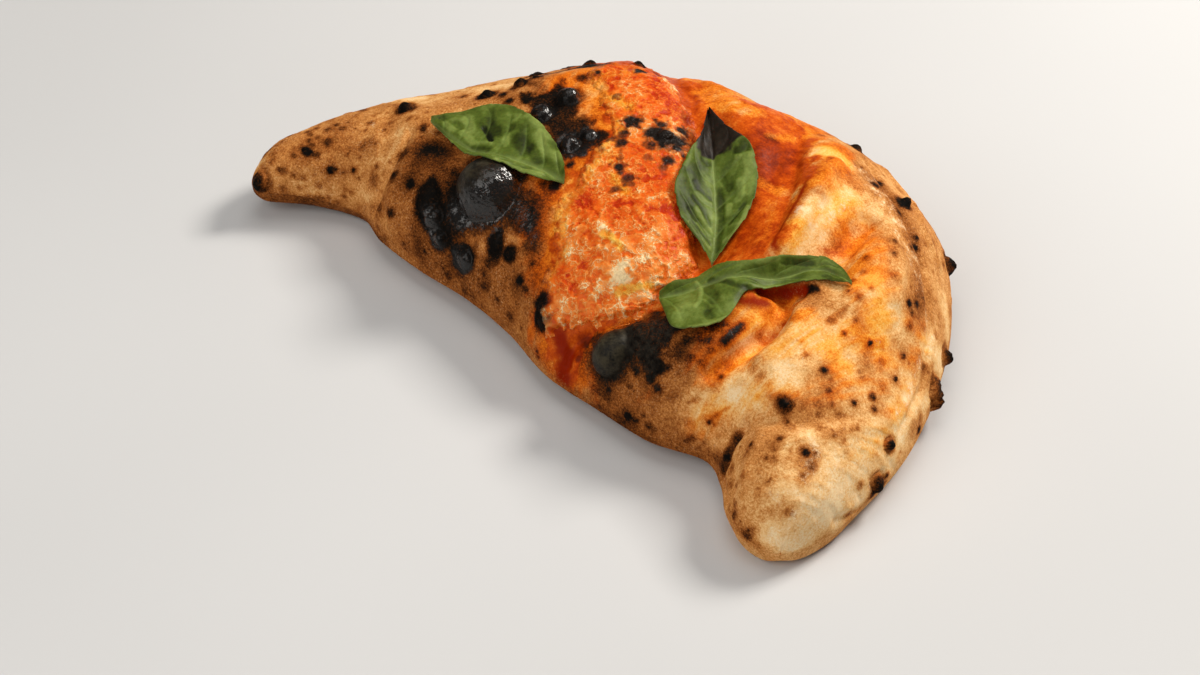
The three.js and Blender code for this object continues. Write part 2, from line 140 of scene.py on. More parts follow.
# Brush strokes on the crust in picture pixels, by what they change: how much, radius, x and y of each point
STROKES = {
    "tone": [
        # left horn: brown with a pale back, olive tan along its lower edge
        (-0.2, 14, 258, 168, 264, 180), (0.07, 18, 318, 128, 350, 122), (0.1, 18, 318, 148, 342, 142),
        (-0.08, 9, 372, 118, 440, 98), (-0.1, 12, 374, 138, 398, 142, 388, 158),
        (-0.12, 10, 300, 190, 340, 192, 366, 196), (0.07, 12, 282, 150, 300, 158),
        (-0.28, 10, 392, 100, 420, 98), (-0.08, 10, 350, 156, 360, 164),
        # painted shade: the first two strokes darken the lower inner edges of the horn and of the left lobe
        (0.26, 9, 276, 202, 330, 212, 362, 220, 384, 244), (0.1, 12, 496, 314, 520, 334, 546, 368),
        (0.1, 10, 398, 160, 390, 180, 388, 205), (0.18, 13, 402, 186, 414, 168, 424, 150),
        # left lobe: dark brown round the big blister, brown below it, a pale crease by the horn
        (0.24, 26, 436, 148, 444, 180, 446, 226), (0.14, 34, 424, 200, 450, 250, 500, 290),
        (0.12, 26, 500, 262, 530, 300, 545, 340), (0.03, 14, 418, 126, 406, 165),
        (0.12, 20, 412, 236, 430, 264, 470, 296), (0.05, 8, 396, 204, 400, 226, 404, 248),
        (0.1, 9, 420, 188, 416, 224, 420, 256), (0.22, 12, 432, 150, 446, 154),
        (0.14, 16, 452, 204, 456, 230, 490, 228), (0.09, 14, 384, 236, 410, 252, 430, 272),
        (-0.14, 8, 470, 238, 484, 246), (0.1, 12, 440, 108, 470, 102, 510, 96),
        (0.34, 7, 534, 78, 552, 74, 580, 68, 608, 64), (-0.14, 8, 474, 90, 520, 82),
        (0.34, 11, 534, 204, 531, 246), (-0.15, 9, 572, 184, 564, 214, 562, 250),
        (0.16, 10, 546, 196, 541, 240, 538, 284), (0.07, 12, 516, 290, 524, 312),
        # painted shade: the second stroke darkens the groove that runs down from 650, 72
        (0.24, 7, 536, 84, 546, 92), (0.25, 9, 650, 72, 660, 92, 672, 107, 688, 122),
        # front hump: dark at the top, floury brown below
        (0.16, 26, 620, 350, 660, 345, 715, 332), (0.12, 14, 676, 336, 684, 356, 682, 380),
        (0.14, 22, 606, 385, 650, 390), (0.07, 9, 680, 362, 690, 378), (-0.09, 14, 700, 406, 740, 398),
        # painted shade: the second stroke darkens the lower edge below the hump
        (0.12, 24, 620, 412, 670, 430), (0.22, 12, 566, 388, 600, 412, 640, 440, 700, 458, 722, 466),
        (0.2, 12, 586, 344, 582, 372), (0.2, 8, 594, 390, 606, 396), (0.2, 8, 634, 362, 642, 366),
        (0.5, 5, 724, 342, 732, 334, 741, 326), (0.16, 6, 684, 344, 676, 352, 662, 354),
        (0.2, 5, 688, 338, 706, 340), (0.25, 2.5, 709, 422, 718, 414, 729, 407),
        (0.2, 2.5, 688, 403, 698, 398), (0.3, 3, 628, 416, 638, 421), (0.16, 5, 672, 398, 678, 396),
        (0.4, 6, 735, 437, 730, 446, 725, 455), (0.08, 5, 724, 458, 721, 474),
        (0.07, 10, 772, 405, 794, 404),
        # stretched pale dough, from the hump to the back of the front horn
        (-0.1, 18, 694, 418, 730, 402), (-0.12, 20, 744, 346, 734, 376, 722, 408),
        (-0.14, 16, 868, 340, 888, 366), (-0.2, 10, 944, 300, 948, 330), (0.1, 10, 866, 436, 884, 412),
        (0.16, 8, 920, 412, 912, 424), (0.2, 8, 630, 322, 652, 314), (-0.08, 13, 756, 326, 784, 336),
        (-0.16, 12, 776, 356, 784, 384, 788, 410, 756, 402), (-0.15, 22, 752, 388, 800, 356, 850, 322),
        (-0.1, 12, 820, 414, 834, 424), (-0.16, 14, 850, 366, 862, 392, 846, 402),
        (-0.09, 24, 812, 326, 836, 344), (-0.12, 12, 838, 280, 842, 300), (-0.18, 20, 850, 346, 890, 322),
        (-0.16, 14, 874, 280, 882, 300, 880, 320), (-0.2, 15, 840, 196, 822, 216, 802, 230, 786, 256),
        (-0.46, 15, 824, 152, 842, 162), (-0.16, 12, 830, 212, 818, 236), (-0.28, 14, 856, 200, 872, 212),
        (0.12, 9, 820, 192, 800, 196, 790, 214),
        (0.17, 13, 864, 174, 886, 190, 906, 222, 920, 262, 918, 318), (0.06, 12, 848, 236, 872, 230),
        # painted shade: the second stroke darkens the back lobe's left flank, which faces away from the light
        (0.14, 5, 828, 252, 842, 244), (0.34, 19, 758, 138, 766, 168, 792, 156),
        (0.12, 18, 752, 190, 748, 230), (0.16, 9, 764, 246, 782, 242),
        (-0.34, 18, 930, 346, 942, 376, 928, 402, 902, 424), (-0.1, 14, 905, 365, 900, 395),
        # front horn: brown on the left, pale on the right, partly paler dough and partly painted highlight on
        # the side that faces the light
        (0.06, 22, 755, 412, 800, 404, 850, 398), (0.03, 16, 754, 455, 742, 490),
        (-0.22, 24, 800, 480, 850, 450, 880, 432), (0.32, 11, 814, 456, 804, 482),
        (-0.2, 24, 800, 530, 835, 505, 862, 470), (-0.3, 16, 818, 504, 842, 518, 870, 492, 890, 462),
        (-0.15, 26, 880, 448, 850, 478, 820, 508, 792, 530), (-0.24, 14, 766, 540, 796, 546),
        (-0.16, 14, 790, 444, 808, 440), (0.14, 8, 716, 456, 722, 470),
        (0.1, 10, 745, 535, 770, 522, 784, 530), (0.1, 7, 930, 405, 910, 436)],
    "oil": [
        # orange oil that has run over the dough
        (0.9, 14, 556, 176, 549, 210, 553, 270, 548, 330), (1.0, 26, 560, 84, 600, 76, 640, 68, 690, 92),
        (0.6, 16, 522, 188, 545, 192), (1.0, 24, 706, 356, 740, 330, 790, 310),
        (0.9, 30, 716, 368, 760, 350, 850, 330, 880, 350),
        (1.0, 31, 834, 160, 850, 220, 868, 280, 876, 322), (0.7, 20, 750, 388, 830, 392, 880, 380),
        (0.6, 22, 870, 450, 905, 400, 920, 330), (0.4, 20, 850, 460, 880, 440),
        (0.25, 20, 752, 436, 748, 480), (0.7, 26, 700, 424, 724, 406, 760, 394),
        (0.9, 12, 580, 338, 574, 392, 560, 384), (0.4, 10, 660, 388, 640, 400),
        (0.8, 10, 905, 318, 928, 346), (1.2, 18, 806, 318, 830, 352, 846, 376)],
    "gold": [
        # golden dough that shows through the sauce
        (0.9, 11, 760, 184, 778, 192), (0.95, 15, 702, 96, 728, 104, 752, 110),
        (0.5, 8, 724, 128, 730, 140), (0.7, 8, 768, 136, 792, 138),
        (0.45, 11, 770, 204, 772, 222, 764, 240), (0.9, 14, 826, 150, 846, 162),
        (0.9, 16, 734, 338, 756, 328)],
    "deep": [
        # deep red sauce in the pool at the front lip and below the lip, and painted shade along the valley's
        # lines, on the back lobe's left flank and under the front leaf
        (1.0, 13, 562, 338, 568, 356, 563, 376), (0.9, 9, 762, 287, 785, 290, 800, 288),
        (0.8, 10, 738, 300, 764, 304), (0.5, 7, 784, 300, 786, 316, 770, 332),
        (0.6, 7, 650, 72, 659, 90, 670, 105, 686, 120), (0.2, 11, 756, 142, 762, 168, 776, 178),
        (0.8, 4, 807, 181, 799, 198, 783, 224, 773, 248), (0.6, 4, 772, 180, 776, 188),
        (0.5, 8, 808, 178, 798, 206, 778, 244, 766, 262), (0.25, 11, 792, 138, 800, 160, 812, 166),
        (0.5, 8, 745, 236, 728, 262), (0.45, 6, 812, 192, 822, 198), (0.3, 6, 590, 330, 630, 318, 665, 308)],
    "sauce": [
        # thin sauce below the valley and round the tip of the front leaf
        (0.5, 9, 786, 300, 784, 322, 764, 342), (0.5, 8, 822, 250, 842, 250),
        (0.35, 10, 838, 262, 850, 236, 872, 226)],
    "painted_glare": [
        # painted highlight: pale cream patches that stand for glare where the light catches the crust
        (0.85, 16, 866, 174, 884, 198, 898, 222), (0.75, 16, 900, 236, 914, 262, 922, 292),
        (0.7, 14, 924, 300, 930, 336), (0.9, 9, 800, 212, 816, 226, 838, 208, 850, 196),
        (0.55, 8, 784, 374, 802, 366, 824, 350), (0.7, 6, 736, 392, 750, 384), (0.7, 7, 868, 352, 878, 334),
        (0.9, 9, 918, 362, 910, 392, 898, 414),
        (0.85, 11, 802, 432, 816, 452, 808, 486, 796, 514, 784, 540),
        (0.8, 9, 832, 450, 848, 476, 836, 500), (0.7, 7, 768, 492, 780, 500),
        (0.8, 12, 826, 520, 846, 512, 868, 490), (0.6, 7, 370, 124, 384, 132),
        (0.6, 5, 300, 124, 340, 116, 400, 98)],
    "tar": [
        # glossy tar on and between the burnt bubbles
        (1.3, 16, 482, 208, 498, 198, 514, 182), (1.2, 13, 462, 212, 478, 218, 496, 216),
        (0.9, 9, 512, 204, 524, 216, 532, 236), (1.0, 7, 430, 216, 434, 232, 437, 243),
        (0.9, 9, 572, 92, 574, 98), (0.8, 8, 542, 110, 546, 116), (1.0, 10, 566, 140, 574, 156, 586, 152),
        (0.9, 6, 588, 132, 594, 138), (0.7, 6, 660, 140, 668, 144), (0.9, 9, 460, 258, 466, 266),
        (0.5, 8, 716, 322, 732, 332)],
}

# Forms too fine for the CAD source, in picture pixels: height in mm, radius, x and y of each point
FORMS = [
    (-1.4, 5, 410, 132, 396, 158, 382, 186, 374, 212), (1.0, 7, 420, 140, 404, 168, 390, 198, 392, 226),
    (-2.2, 5, 744, 426, 731, 446, 722, 478, 726, 500), (1.2, 10, 762, 432, 748, 462, 742, 496),
    (-3.5, 10, 764, 290, 784, 292, 800, 290), (-2.4, 7, 784, 300, 786, 316, 772, 332, 750, 350, 708, 376),
    (1.6, 12, 730, 340, 758, 322, 768, 306), (1.4, 8, 800, 308, 790, 336, 760, 358),
    (2.2, 10, 836, 164, 816, 196, 796, 226, 770, 262), (-2.4, 13, 866, 226, 846, 250, 838, 274),
    (1.6, 10, 882, 222, 902, 262, 896, 300), (-1.4, 7, 800, 140, 790, 190, 776, 230),
    (0.6, 9, 760, 150, 764, 200, 758, 240), (-1.6, 6, 652, 72, 662, 94, 676, 110, 692, 126),
    (1.6, 9, 684, 82, 700, 104, 708, 128),
    (-1.2, 5, 870, 166, 904, 214, 924, 266, 930, 330, 922, 388, 902, 430),
    (1.0, 6, 884, 164, 916, 210, 938, 264), (-1.5, 6, 562, 384, 574, 346, 602, 328, 640, 318),
    (1.2, 12, 640, 330, 690, 316, 720, 308), (-0.9, 8, 760, 420, 800, 424, 850, 416),
    (0.9, 10, 790, 440, 840, 436, 890, 420), (-1.2, 6, 836, 520, 850, 516, 862, 508),
    (1.0, 14, 520, 250, 540, 280), (-0.8, 8, 500, 262, 516, 300),
]

FRECKLES = 900
# Longest step of a path in pixels, and the least length of a run, so that nothing is divided by zero
LONGEST_STEP = 26
SHORTEST_RUN = 1e-9

# Burnt spots in picture pixels: x, y, radius, darkness, height of the blister in mm
SPOTS = [
    (257, 188, 7, 0.4, 0.3), (265, 155, 5, 0.3, 0.3), (306, 151, 5, 0.5, 0.4), (328, 143, 5, 0.3, 0.2),
    (331, 170, 5, 0.62, 0.5), (354, 170, 3, 0.35, 0.1), (363, 147, 7, 0.2, 0), (342, 129, 5, 0.22, 0),
    (345, 190, 4, 0.2, 0.1), (393, 176, 5, 0.3, 0.2), (373, 180, 6, 0.26, 0), (411, 183, 5, 0.4, 0.2),
    (402, 153, 8, 0.34, 0), (283, 171, 5, 0.2, 0), (404, 110, 6, 0.35, 0.4), (390, 124, 5, 0.15, 0),
    (424, 127, 4, 0.3, 0.1), (393, 213, 6, 0.24, 0), (376, 178, 5, 0.2, 0), (391, 174, 5, 0.2, 0.1),
    (380, 208, 7, 0.24, 0), (486, 94, 7, 0.5, 0.3), (503, 94, 6, 0.45, 0.3), (509, 101, 7, 0.5, 0.3),
    (464, 96, 6, 0.3, 0), (536, 78, 6, 0.6, 0.6), (582, 77, 6, 0.5, 0.3), (526, 100, 7, 0.5, 0.3),
    (462, 262, 10, 0.75, 0.9), (494, 242, 4.5, 0.45, 0.5), (495, 250, 4.5, 0.4, 0.4),
    (508, 254, 4, 0.5, 0.6), (541, 304, 8, 0.4, 0.3), (539, 316, 8, 0.36, 0.3), (484, 286, 6, 0.25, 0.1),
    (520, 280, 6, 0.4, 0.2), (497, 300, 4, 0.2, 0), (510, 317, 6, 0.24, 0), (476, 246, 5, 0.2, 0),
    (448, 276, 6, 0.2, 0), (554, 187, 7, 0.65, 0.4), (582, 154, 6, 0.6, 0.4), (570, 166, 5, 0.5, 0.2),
    (628, 416, 6, 0.65, 0.4), (578, 359, 5, 0.5, 0.2), (585, 342, 8, 0.4, 0), (806, 453, 5, 0.4, 0.3),
    (753, 446, 4, 0.4, 0.2), (780, 439, 6, 0.35, 0.1), (854, 403, 4, 0.62, 0.4), (873, 397, 4, 0.62, 0.4),
    (874, 409, 4, 0.5, 0.3), (919, 430, 6, 0.6, 0.4), (746, 536, 8, 0.3, 0), (849, 514, 6, 0.45, 0.3),
    (859, 486, 5, 0.4, 0.1), (793, 514, 5, 0.35, 0.1), (734, 517, 5, 0.25, 0), (734, 502, 4, 0.2, 0),
    (824, 371, 4, 0.6, 0.5), (869, 343, 4, 0.7, 0.4), (903, 356, 4, 0.45, 0.2), (895, 379, 4, 0.6, 0.4),
    (909, 303, 4, 0.7, 0.4), (916, 304, 4, 0.4, 0.2), (856, 429, 4, 0.3, 0), (831, 321, 5, 0.38, 0.1),
    (844, 334, 4, 0.5, 0.2), (855, 321, 4, 0.34, 0.1), (839, 315, 4, 0.3, 0.1), (859, 297, 4, 0.3, 0.1),
    (864, 271, 4, 0.3, 0.1), (910, 326, 4, 0.3, 0.1), (917, 238, 4, 0.5, 0.3), (917, 246, 4, 0.5, 0.2),
    (881, 181, 5, 0.5, 0.3), (875, 185, 4, 0.4, 0.1), (893, 244, 4, 0.35, 0.1), (893, 254, 4, 0.35, 0.1),
    (903, 204, 5, 0.7, 0.5), (900, 212, 5, 0.3, 0), (890, 445, 5, 0.75, 0.5), (871, 495, 7, 0.5, 0.5),
    (878, 485, 6, 0.5, 0.4), (886, 475, 5, 0.5, 0.3), (807, 289, 8, 0.6, 0.2), (787, 421, 5, 0.3, 0),
    (829, 391, 4, 0.3, 0.1), (819, 406, 5, 0.26, 0), (819, 414, 5, 0.26, 0), (843, 441, 4, 0.25, 0),
    (862, 378, 5, 0.2, 0), (881, 362, 5, 0.3, 0), (859, 372, 4, 0.25, 0), (883, 387, 5, 0.2, 0),
    (830, 162, 4, 0.3, 0), (900, 190, 5, 0.2, 0), (925, 300, 5, 0.2, 0), (945, 392, 7, 0.5, 0.3),
    (948, 364, 6, 0.5, 0.5), (709, 422, 4, 0.35, 0.1), (721, 377, 5, 0.3, 0), (738, 386, 4, 0.2, 0),
    (710, 351, 5, 0.22, 0.1), (703, 362, 5, 0.22, 0.1), (691, 357, 4, 0.2, 0.1), (658, 388, 6, 0.3, 0),
    (651, 378, 6, 0.6, 0.8), (692, 438, 5, 0.25, 0), (642, 66, 6, 0.5, 0.2), (598, 74, 5, 0.5, 0.3),
    (590, 66, 9, 0.5, 0.3), (606, 66, 6, 0.45, 0.3), (570, 66, 9, 0.6, 0.4), (794, 184, 3, 0.3, 0),
    (851, 147, 5, 0.35, 0.3), (855, 165, 4, 0.15, 0), (808, 252, 3, 0.15, 0), (866, 258, 4, 0.3, 0.1),
    (852, 280, 4, 0.3, 0.1), (872, 288, 4, 0.25, 0.1), (848, 292, 3, 0.3, 0.1),
]

# Melted cheese and tomato: left x, left y, right x, right y of the band from the front lip to the back
BAND = np.array([
    (19, 14, 46, 36), (11, 20, 49, 42), (4, 28, 50, 49), (-3, 38, 49, 57), (-9, 48, 45, 68),
    (-12, 59, 37, 80), (-14, 71, 27, 91), (-20, 83, 15, 101), (-30, 92, 2, 112), (-42, 99, -12, 122),
    (-53, 105, -27, 131), (-60, 114, -41, 136),
], float)
BAND_LENGTH = 140.0
BAND_THICKNESS = 1.7
# How deep the band's edges are sunk into the crust, and which way its two ends run on, in mm for each u
SUNK_EDGE = 1.6
FRONT_OVERRUN = (-35.0, 75.0)
BACK_OVERRUN = (-70.0, 60.0)
BAND_LIP = ([(20, 16), (31, 25), (46, 37)], (0.7, 0.9, 0.8), 6)
BAND_STEPS = (420, 190)
BAND_BUBBLE = (0.514, 86, 3.2, 2.4)
# Strokes on the cheese, as on the crust, and its burnt specks: x, y, radius, darkness
CHEESE_STROKES = {
    "level": [
        (-0.3, 12, 586, 202, 590, 226), (-0.22, 10, 592, 234, 598, 250), (-0.2, 8, 562, 272, 566, 284),
        (-0.24, 7, 584, 264, 592, 280), (-0.2, 6, 622, 204, 640, 204), (-0.2, 5, 648, 211, 662, 211),
        (-0.2, 6, 636, 220, 650, 228), (-0.24, 7, 648, 272, 658, 272), (-0.2, 12, 556, 92, 590, 86),
        # painted shadow: the first two strokes darken the cheese beside the middle leaf
        (-0.1, 14, 664, 180, 670, 220), (-0.26, 12, 672, 206, 684, 236), (-0.16, 12, 600, 214, 622, 238),
        (0.14, 12, 664, 272, 684, 272), (0.1, 16, 576, 252, 600, 272),
        (0.12, 20, 580, 258, 606, 268, 640, 262), (0.22, 8, 565, 206, 566, 230, 568, 254),
        # painted shade: the first stroke is more of the middle leaf's shadow, the second darkens the crease
        # that runs down from 650, 72
        (-0.2, 8, 664, 240, 676, 262, 694, 276), (-0.28, 9, 650, 72, 660, 92, 674, 110),
        # painted highlights: the light strokes on this line and the next, where the wet cheese catches the
        # light
        (0.16, 16, 584, 276, 600, 290, 620, 284), (0.4, 7, 620, 270, 626, 278),
        (0.3, 7, 650, 236, 652, 242), (0.25, 5, 642, 254, 646, 260), (0.25, 5, 620, 236, 626, 242),
        (0.16, 6, 560, 298, 564, 312), (-0.14, 7, 590, 314, 614, 308, 640, 304),
        (0.2, 5, 618, 300, 658, 294), (-0.18, 18, 612, 80, 655, 86), (0.2, 4, 652, 200, 656, 206),
        (0.2, 5, 616, 284, 626, 268, 632, 250), (0.08, 5, 556, 318, 572, 322, 590, 312, 614, 306, 650, 300),
        (0.16, 3, 601, 200, 606, 232, 600, 250)],
    "amber": [
        (0.9, 7, 562, 176, 555, 206, 557, 262), (0.9, 5, 604, 236, 614, 240, 621, 249),
        (0.9, 6, 620, 292, 636, 288, 649, 286), (0.8, 6, 689, 268, 706, 270), (0.8, 9, 610, 100, 628, 108),
        (0.8, 7, 610, 130, 624, 132), (0.8, 8, 614, 178, 626, 194), (0.5, 12, 600, 130, 612, 160),
        (0.5, 14, 560, 86, 600, 78, 640, 72)],
    "burn": [
        (1.0, 14, 656, 136, 664, 143, 676, 143), (0.5, 4, 634, 118, 624, 134, 618, 142),
        (0.4, 3, 622, 144, 620, 172, 630, 184)],
}
BURNS = [
    (666, 141, 9, 1.0), (661, 127, 6, 0.7), (680, 134, 6, 0.75), (676, 151, 6, 0.75), (652, 146, 6, 0.65),
    (634, 124, 9, 0.75), (625, 135, 6, 0.7), (622, 145, 6, 0.7), (611, 141, 5, 0.55), (669, 162, 6, 0.7),
    (664, 168, 4, 0.5), (620, 168, 6, 0.7), (621, 174, 4, 0.6), (627, 179, 6, 0.65), (631, 185, 4, 0.5),
    (616, 191, 6, 0.6), (602, 152, 5, 0.4), (616, 98, 4, 0.5), (639, 65, 6, 0.9), (639, 73, 5, 0.8),
    (598, 74, 4, 0.7), (600, 160, 3, 0.3), (640, 166, 3, 0.35), (592, 132, 6, 0.6), (648, 158, 4, 0.4),
]

# Basil leaves: stem and tip in plan, lifts of the tip and of the lower and upper edge, where along the leaf
# the burnt part starts, number of side veins, and at even steps from stem to tip the lower edge, midrib and
# upper edge as offsets from the straight line between them
LEAVES = {
    "basil_leaf_left": dict(
        stem=(-14.4, 55.5), tip=(-88.8, 50.7), tip_lift=1.5, edge_lift=(1.4, 0.2), burnt=2.0, veins=7,
        rows=[(0, 0, 0), (-6.9, 0, 4.3), (-11.7, 0.4, 6), (-14.6, 2, 8.2), (-17, 4.2, 11.5),
              (-19, 5.8, 11.5), (-20.4, 5.6, 8.8), (-19.3, 4.4, 6.4), (-15.5, 3.1, 4.4), (-7.5, 1.6, 2.4),
              (0, 0, 0)]),
    "basil_leaf_middle": dict(
        stem=(53.4, 67.5), tip=(0.1, 120.8), tip_lift=7, edge_lift=(1.2, 1.6), burnt=0.66, veins=6,
        rows=[(0, 0, 0), (-5.2, -0.9, 4), (-11.8, -1.6, 10.6), (-15.2, -2, 13.1), (-17.3, -1.9, 13.6),
              (-18.2, -1.9, 11.5), (-17.3, -1.8, 9.2), (-15.2, -1.7, 6.7), (-9.8, -1.5, 3.2),
              (-4.9, -0.8, 1.2), (0, 0, 0)]),
    "basil_leaf_front": dict(
        stem=(48.6, 43.2), tip=(105.3, 88), tip_lift=0.5, edge_lift=(0.4, 0.8), burnt=2.0, veins=5,
        rows=[(0, 0, 0), (-11.5, 0.3, 3.8), (-20.3, 0.6, 5.8), (-22.8, 0.9, 6.5), (-23, 1.2, 7),
              (-22.9, 1.6, 9), (-22.2, 2, 9.6), (-20.3, 2.3, 8.8), (-15, 2.6, 8.1), (-4.8, 3.2, 8.3),
              (-1.8, 3.8, 8.6), (-0.5, 4.6, 9.4), (1.7, 5.8, 10.9), (3.6, 7, 12.8), (4.5, 8.2, 13.7),
              (4.4, 9, 14.2), (4, 9.1, 14.3), (3.9, 8.8, 14.4), (3.2, 7.4, 12), (1.6, 4.6, 7.8), (0, 0, 0)]),
}
# Painted sheen (above 0) and painted shade (below 0) on the leaves, which also raise and sink the leaf a
# little, in picture pixels: amount, radius, x and y of each point
LEAF_STROKES = {
    "basil_leaf_left": [
        (0.5, 4, 497, 160, 512, 167, 540, 174), (0.45, 7, 539, 135, 543, 147, 547, 153, 557, 157),
        (0.4, 5, 528, 116, 541, 128, 550, 138), (0.4, 4, 505, 127, 506, 145), (0.5, 7, 470, 130, 467, 120),
        (0.4, 4, 462, 133, 473, 143, 489, 144), (0.3, 3, 507, 114, 519, 115, 513, 122),
        (0.35, 4, 445, 124, 452, 130), (-0.6, 9, 486, 122, 492, 132, 500, 131),
        (-1.3, 2.5, 484, 127, 491, 140), (-0.4, 5, 491, 111, 492, 122), (-0.4, 6, 512, 127, 526, 129),
        (-0.55, 9, 518, 137, 524, 150), (-0.5, 6, 532, 148, 537, 160), (-0.5, 6, 472, 150, 486, 149),
        (-0.35, 4, 455, 123, 461, 127), (-0.3, 4, 441, 118, 453, 115)],
    "basil_leaf_middle": [
        (0.5, 3, 710, 249, 705, 242, 697, 232, 690, 223), (0.4, 3, 710, 239, 703, 231, 698, 224),
        (0.5, 4, 710, 234, 703, 221, 697, 209), (0.5, 5, 713, 218, 708, 204, 699, 194),
        (0.35, 4, 714, 195, 709, 185, 703, 173), (0.3, 3, 691, 157, 686, 164),
        (0.45, 7, 746, 156, 750, 168, 749, 180, 746, 192), (0.3, 4, 738, 156, 735, 166, 732, 173),
        (0.45, 5, 739, 182, 740, 195, 738, 200), (0.4, 4, 729, 206, 728, 214, 736, 212),
        (0.3, 3, 730, 226, 740, 224), (0.4, 3, 724, 242, 734, 233, 742, 221, 747, 207),
        (-0.4, 3.5, 709, 244, 699, 232, 692, 224), (-0.4, 4, 709, 237, 703, 227, 695, 218, 690, 209),
        (-0.4, 3, 709, 225, 701, 207, 693, 196), (-0.4, 3.5, 709, 199, 699, 189, 695, 181),
        (-0.45, 14, 704, 160, 694, 174, 688, 200), (-0.4, 4, 703, 159, 709, 164),
        (-0.55, 5, 719, 191, 721, 218, 719, 236, 717, 250), (-0.4, 4, 723, 179, 729, 189, 732, 184),
        (-0.5, 5, 742, 141, 747, 148, 737, 150), (-0.4, 3, 745, 203, 736, 216, 730, 224)],
    "basil_leaf_front": [
        (0.5, 2.5, 696, 283, 701, 290, 700, 300, 695, 307), (0.3, 9, 684, 296, 690, 304),
        (-0.4, 6, 707, 286, 714, 296, 710, 306), (-0.6, 4, 710, 280, 727, 281, 740, 286, 749, 288),
        (-0.5, 5, 707, 312, 710, 316), (0.35, 2, 704, 300, 712, 307), (0.3, 4, 675, 306, 681, 312),
        (0.4, 3, 690, 332, 712, 330, 726, 318), (0.3, 7, 726, 296, 732, 308), (-0.5, 4, 784, 261, 812, 263),
        (0.45, 4, 825, 263, 840, 272, 850, 282), (0.4, 3, 750, 285, 768, 288, 790, 284),
        (-0.3, 5, 746, 270, 772, 268), (0.25, 4, 760, 262, 782, 257), (-0.35, 4, 826, 276, 842, 284)],
}
LEAF_STEPS = (170, 90)
LEAF_THICKNESS = 0.5
LEAF_GAP = 0.9
# Rounds of smoothing while a leaf rests on what lies below it, and after that
RESTING_STEPS = 500
EASING_STEPS = 40


# ---------------------------------------------------------------- numbers

def pairs(values):
    """Points from a row of numbers, x and y by turns."""
    return list(zip(values[::2], values[1::2]))


def smooth(a, b, x):
    t = np.clip((x - a) / (b - a), 0, 1)
    return t * t * (3 - 2 * t)


def rows(table, u):
    """Rows of a table at u from 0 to 1, smoothly joined."""
    last = len(table) - 1
    place = np.clip(u, 0, 1) * last
    i = np.minimum(place.astype(int), last - 1)
    w = (place - i)[:, None]
    padded = np.vstack([2 * table[0] - table[1], table, 2 * table[last] - table[last - 1]])
    p0, p1, p2, p3 = (padded[i + k] for k in range(4))
    v0 = (p2 - p0) / 2
    v1 = (p3 - p1) / 2
    return (2 * p1 - 2 * p2 + v0 + v1) * w ** 3 + (-3 * p1 + 3 * p2 - 2 * v0 - v1) * w ** 2 + v0 * w + p1


def lattice(i, seed):
    """A repeatable random number from 0 to 1 for each whole-number triple."""
    n = i[:, 0] * 374761393 + i[:, 1] * 668265263 + i[:, 2] * 1440670441 + seed * 974711
    n = (n ^ (n >> 13)) & 0x7FFFFFFF
    n = (n * 1274126177) & 0x7FFFFFFF
    n = (n ^ (n >> 15)) & 0x7FFFFFFF
    return (n % 65536) / 65536.0


def noise(points, size, seed):
    q = points / size
    i = np.floor(q).astype(np.int64)
    f = q - i
    f = f * f * (3 - 2 * f)
    total = np.zeros(len(points))
    for corner in range(8):
        step = np.array([corner & 1, corner >> 1 & 1, corner >> 2 & 1])
        total += np.prod(np.where(step, f, 1 - f), axis=1) * lattice(i + step, seed)
    return total * 2 - 1


def fbm(points, size, octaves, seed):
    return sum(noise(points, size / 2 ** k, seed + k * 17) * 0.5 ** k for k in range(octaves))


def cells(points, size, seed):
    """Distances to the nearest two of scattered points, one in each cube, and the nearest one's number."""
    q = points / size
    base = np.floor(q).astype(np.int64)
    near = np.full(len(points), 9.0)
    second = near
    number = np.zeros(len(points))
    for k in range(27):
        cell = base + np.array([k % 3 - 1, k // 3 % 3 - 1, k // 9 - 1])
        spot = cell + np.stack([lattice(cell, seed + a) for a in range(3)], axis=1)
        away = np.linalg.norm(q - spot, axis=1)
        number = np.where(away < near, lattice(cell, seed + 9), number)
        second = np.minimum(second, np.maximum(near, away))
        near = np.minimum(near, away)
    return near, second, number


def domes(points, size, seed, width):
    """Small domes on scattered points, and a random number for each."""
    near, _, number = cells(points, size, seed)
    return np.clip(1 - (near / width) ** 2, 0, 1), number


def segment(points, start, end):
    """How far along a segment the nearest place to each point is, and how far away it is, squared."""
    run = end - start
    u = np.clip((points - start) @ run / max(run @ run, SHORTEST_RUN), 0, 1)
    return u, np.sum((points - start - u[:, None] * run) ** 2, axis=1)


def path_height(plan, fold):
    """Heights that a fold gives to plan points."""
    path, heights, width = fold
    path = np.array(path, float)
    best = np.full(len(plan), 1e9)
    out = np.zeros(len(plan))
    for start, end, low, high in zip(path, path[1:], heights, heights[1:]):
        u, away = segment(plan, start, end)
        out = np.where(away < best, (low + (high - low) * u) * np.exp(-away / width ** 2), out)
        best = np.minimum(best, away)
    return out


# ---------------------------------------------------------------- crust shape

def relief(plan):
    x, y = plan.T
    swell = 0.55 * np.sin(x * 0.085 + 1.3) * np.sin(y * 0.1 + 0.4)
    return sum(path_height(plan, fold) for fold in FOLDS) + swell + 0.35 * np.sin(x * 0.17 - y * 0.13)


